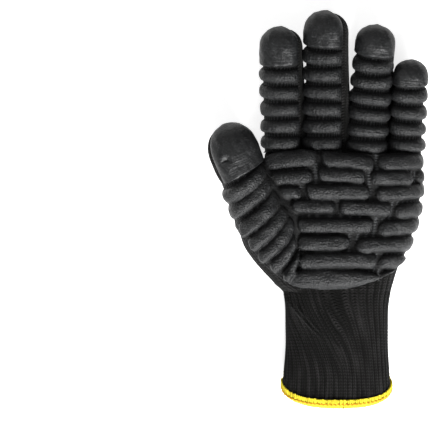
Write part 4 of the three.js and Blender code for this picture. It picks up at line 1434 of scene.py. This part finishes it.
def knitted_yarn():
    """Black cotton and nylon yarn, knitted in ribs: dull and a little furry. Its colour is painted
    lighter on the stitches and the ribs' middles as highlights, and darker between them as painted
    shade."""
    material, tree, shader = new_material("black_rib_knit_yarn")
    shader.inputs["Roughness"].default_value = 0.92
    shader.inputs["Specular IOR Level"].default_value = 0.12
    shader.inputs["Sheen Weight"].default_value = 0.02
    shader.inputs["Sheen Roughness"].default_value = 0.6
    knit = node(tree, "ShaderNodeAttribute", attribute_name="knit").outputs["Vector"]
    parts = node(tree, "ShaderNodeSeparateXYZ", {0: knit}).outputs
    place = node(tree, "ShaderNodeTexCoord").outputs["Object"]
    # Fibres 0.9 mm apart, since real ones are finer than the picture can show, and patches of a few
    # ribs where the knit is looser and darker.
    fibres = node(tree, "ShaderNodeTexNoise", {"Vector": place, "Scale": 1100.0, "Detail": 2.0})
    runs = node(tree, "ShaderNodeVectorMath", {0: knit, 1: (0.45, 0.07, 0.0)}, operation="MULTIPLY")
    patches = node(tree, "ShaderNodeTexNoise", {"Vector": runs, "Scale": 1.0, "Detail": 3.0})
    known = {"wale": parts[0], "course": parts[1], "shown": parts[2], "fibre": fibres, "patch": patches}
    sums = [
        ("across", "PINGPONG", "wale", 0.5),
        ("lean", "MULTIPLY_ADD", "across", 0.9, "course"),
        ("angle", "MULTIPLY", "lean", 2 * math.pi),
        ("wave", "SINE", "angle"),
        ("loop", "MULTIPLY_ADD", "wave", 0.45, 0.55),
        ("wide", "MULTIPLY", "across", 2.0),
        ("crest", "POWER", "wide", 0.6),
        ("rib", "PINGPONG", "wale", 1.0),
        ("rib crest", "POWER", "rib", 0.8),
        ("column", "MULTIPLY_ADD", "rib crest", 0.9, 0.25),
        ("stitch", "MULTIPLY", "crest", "loop"),
        ("stitch in rib", "MULTIPLY", "stitch", "column"),
        ("stitch shown", "MULTIPLY", "stitch in rib", "shown"),
        ("height", "MULTIPLY_ADD", "fibre", 0.75, "stitch shown"),
        ("tone", "MULTIPLY_ADD", "patch", 2.4, "height"),
        ("light", "SUBTRACT", "tone", 1.7),
    ]
    for name, operation, *values in sums:
        values = {i: known.get(value, value) for i, value in enumerate(values)}
        known[name] = node(tree, "ShaderNodeMath", values, operation=operation)
    # The ramp runs from painted shade in the hollows between stitches to painted highlight on their
    # tops; the patches only shift the knit's own tone.
    colour = node(tree, "ShaderNodeValToRGB", {"Fac": known["light"]})
    colour.color_ramp.elements[0].color = linear("#050504")
    colour.color_ramp.elements[1].color = linear("#282727")
    bump = node(
        tree, "ShaderNodeBump", {"Height": known["height"], "Distance": 0.7 * MM, "Strength": 1.0}
    )
    wire_up(tree, shader, colour, bump)
    return material


def foam_rubber():
    """Black polychloroprene foam, moulded over the knit and cured: semi-matt with a fine grain and
    faint creases on its crests, and thin on the film, where the knit shows through. Painted shade
    darkens the folds at the crests' feet and the low film between them, and the knit's loops there are
    painted lighter as highlights."""
    material, tree, shader = new_material("black_chloroprene_foam")
    shader.inputs["IOR"].default_value = 1.52
    shader.inputs["Specular IOR Level"].default_value = 0.34
    knit = node(tree, "ShaderNodeAttribute", attribute_name="knit").outputs["Vector"]
    knit = node(tree, "ShaderNodeSeparateXYZ", {0: knit}).outputs
    moulded_place = node(tree, "ShaderNodeAttribute", attribute_name="pad").outputs["Vector"]
    parts = node(tree, "ShaderNodeSeparateXYZ", {0: moulded_place}).outputs
    place = node(tree, "ShaderNodeTexCoord").outputs["Object"]
    # Grain about 1.2 mm across and clouds of about 8 mm. Real grain is finer than the picture can show.
    grain = node(tree, "ShaderNodeTexNoise", {"Vector": place, "Scale": 850.0, "Detail": 3.0})
    clouds = node(tree, "ShaderNodeTexNoise", {"Vector": place, "Scale": 130.0, "Detail": 2.0})
    # Skin lines run along a pad or a rib, about 1 mm apart.
    along = node(
        tree, "ShaderNodeVectorMath", {0: moulded_place, 1: (0.12, 1.0, 0.0)}, operation="MULTIPLY"
    )
    lines = node(tree, "ShaderNodeTexNoise", {"Vector": along, "Scale": 1.0, "Detail": 3.0})
    deep = node(
        tree, "ShaderNodeMapRange",
        {"Value": parts[2], "From Min": 0.4, "From Max": 2.2, "To Min": 1.0, "To Max": 0.0},
        interpolation_type="SMOOTHSTEP",
    )
    known = {
        "wale": knit[0], "course": knit[1], "shown": knit[2], "grain": grain, "cloud": clouds,
        "line": lines, "deep": deep, "rise": parts[2],
    }
    sums = [
        ("across", "PINGPONG", "wale", 0.5),
        ("wide", "MULTIPLY", "across", 2.0),
        ("rib", "POWER", "wide", 1.3),
        ("angle", "MULTIPLY", "course", 2 * math.pi),
        ("wave", "SINE", "angle"),
        ("loop", "MULTIPLY_ADD", "wave", 0.2, 0.8),
        ("mesh", "MULTIPLY", "rib", "loop"),
        ("mesh shown", "MULTIPLY", "mesh", "shown"),
        ("through", "MULTIPLY_ADD", "deep", 0.7, 0.12),
        ("mesh height", "MULTIPLY", "mesh shown", "through"),
        ("line depth", "MULTIPLY_ADD", "shown", -0.18, 0.3),
        ("lined", "MULTIPLY_ADD", "line", "line depth", "mesh height"),
        ("grain depth", "MULTIPLY_ADD", "shown", 0.7, 0.3),
        ("height", "MULTIPLY_ADD", "grain", "grain depth", "lined"),
        # Painted shade: the colour darkens in a band round each pad's and rib's foot, where it folds
        # into the film, and over the low film between them. The knit's loops on that film are painted
        # lighter, as highlights.
        ("over foot", "SUBTRACT", "rise", 1.0),
        ("off foot", "ABSOLUTE", "over foot"),
        ("foot share", "DIVIDE", "off foot", 0.9),
        ("foot gap", "SUBTRACT", 1.0, "foot share"),
        ("foot", "MAXIMUM", "foot gap", 0.0),
        ("crest", "MULTIPLY_ADD", "deep", -0.75, 1.0),
        ("mesh lit", "MULTIPLY", "mesh shown", "deep"),
        ("tone", "MULTIPLY_ADD", "mesh lit", 2.4, "crest"),
        ("clouded", "MULTIPLY_ADD", "cloud", 0.8, "tone"),
        ("speckled", "MULTIPLY_ADD", "grain", 2.2, "clouded"),
        ("foot_shaded", "MULTIPLY_ADD", "foot", -2.4, "speckled"),
        ("shifted", "SUBTRACT", "foot_shaded", 1.82),
        ("light", "MULTIPLY", "shifted", 0.68),
        ("matt", "MULTIPLY_ADD", "deep", 0.28, 0.33),
        ("roughness", "MULTIPLY_ADD", "grain", 0.35, "matt"),
    ]
    for name, operation, *values in sums:
        values = {i: known.get(value, value) for i, value in enumerate(values)}
        known[name] = node(tree, "ShaderNodeMath", values, operation=operation)
    colour = node(tree, "ShaderNodeValToRGB", {"Fac": known["light"]})
    colour.color_ramp.elements[0].color = linear("#020202")
    colour.color_ramp.elements[1].color = linear("#373839")
    colour.color_ramp.elements.new(0.6).color = linear("#151617")
    bump = node(tree, "ShaderNodeBump", {"Height": known["height"], "Distance": MM, "Strength": 1.0})
    wire_up(tree, shader, colour, bump)
    tree.links.new(known["roughness"].outputs[0], shader.inputs["Roughness"])
    return material


def spun_yarn(name, dark, light, roughness=0.75):
    """Spun polyester yarn: soft light on its rounds, with fine twisted plies."""
    material, tree, shader = new_material(name)
    shader.inputs["Roughness"].default_value = roughness
    shader.inputs["Sheen Weight"].default_value = 0.05
    shader.inputs["Specular IOR Level"].default_value = 0.25
    place = node(tree, "ShaderNodeTexCoord").outputs["Object"]
    # Plies 0.4 mm apart
    plies = node(tree, "ShaderNodeTexNoise", {"Vector": place, "Scale": 2400.0, "Detail": 1.0})
    patches = node(tree, "ShaderNodeTexNoise", {"Vector": place, "Scale": 260.0, "Detail": 2.0})
    tone = node(tree, "ShaderNodeMath", {0: plies, 1: patches}, operation="ADD")
    share = node(tree, "ShaderNodeMath", {0: tone, 1: 0.5}, operation="MULTIPLY")
    colour = node(tree, "ShaderNodeValToRGB", {"Fac": share})
    colour.color_ramp.elements[0].position = 0.3
    colour.color_ramp.elements[1].position = 0.62
    colour.color_ramp.elements[0].color = linear(dark)
    colour.color_ramp.elements[1].color = linear(light)
    bump = node(tree, "ShaderNodeBump", {"Height": plies, "Distance": 0.2 * MM, "Strength": 0.8})
    wire_up(tree, shader, colour, bump)
    return material


# Assembly

yarn, foam = knitted_yarn(), foam_rubber()
yellow = spun_yarn("yellow_overlock_yarn", "#c2ad1c", "#e2d232")
# The needle thread's darker amber is partly its own colour and partly painted shade.
amber = spun_yarn("amber_needle_thread_and_painted_shade", "#b57a10", "#d79a1c")
black = spun_yarn("black_yarn_end", "#0c0c0c", "#1c1b1b", 0.9)
RIBS = rib_tree()

finish_piece(knit_cuff(), yarn, "knit", "knit_cuff")
stalls = ["knit_" + finger for finger in FINGERS]
finish_piece(knit_hand(), yarn, "knit", "knit_hand", "knit_thumb", *stalls)
finish_piece(palm_coating(), foam, "coating", "palm_coating")
finish_piece(thumb_cap(), foam, "coating", "thumb_cap")
for seed, finger in enumerate(FINGERS):
    sleeve = finger_sleeve(finger, seed + 1)
    finish_piece(sleeve, foam, "coating", finger + "_sleeve")
finish_piece(hem_band(), yellow, "hem", "cuff_hem")
finish_piece(hem_loops(), yellow, "hem")
finish_piece(needle_thread(), amber, "hem")
finish_piece(yarn_ends(), black, "hem")
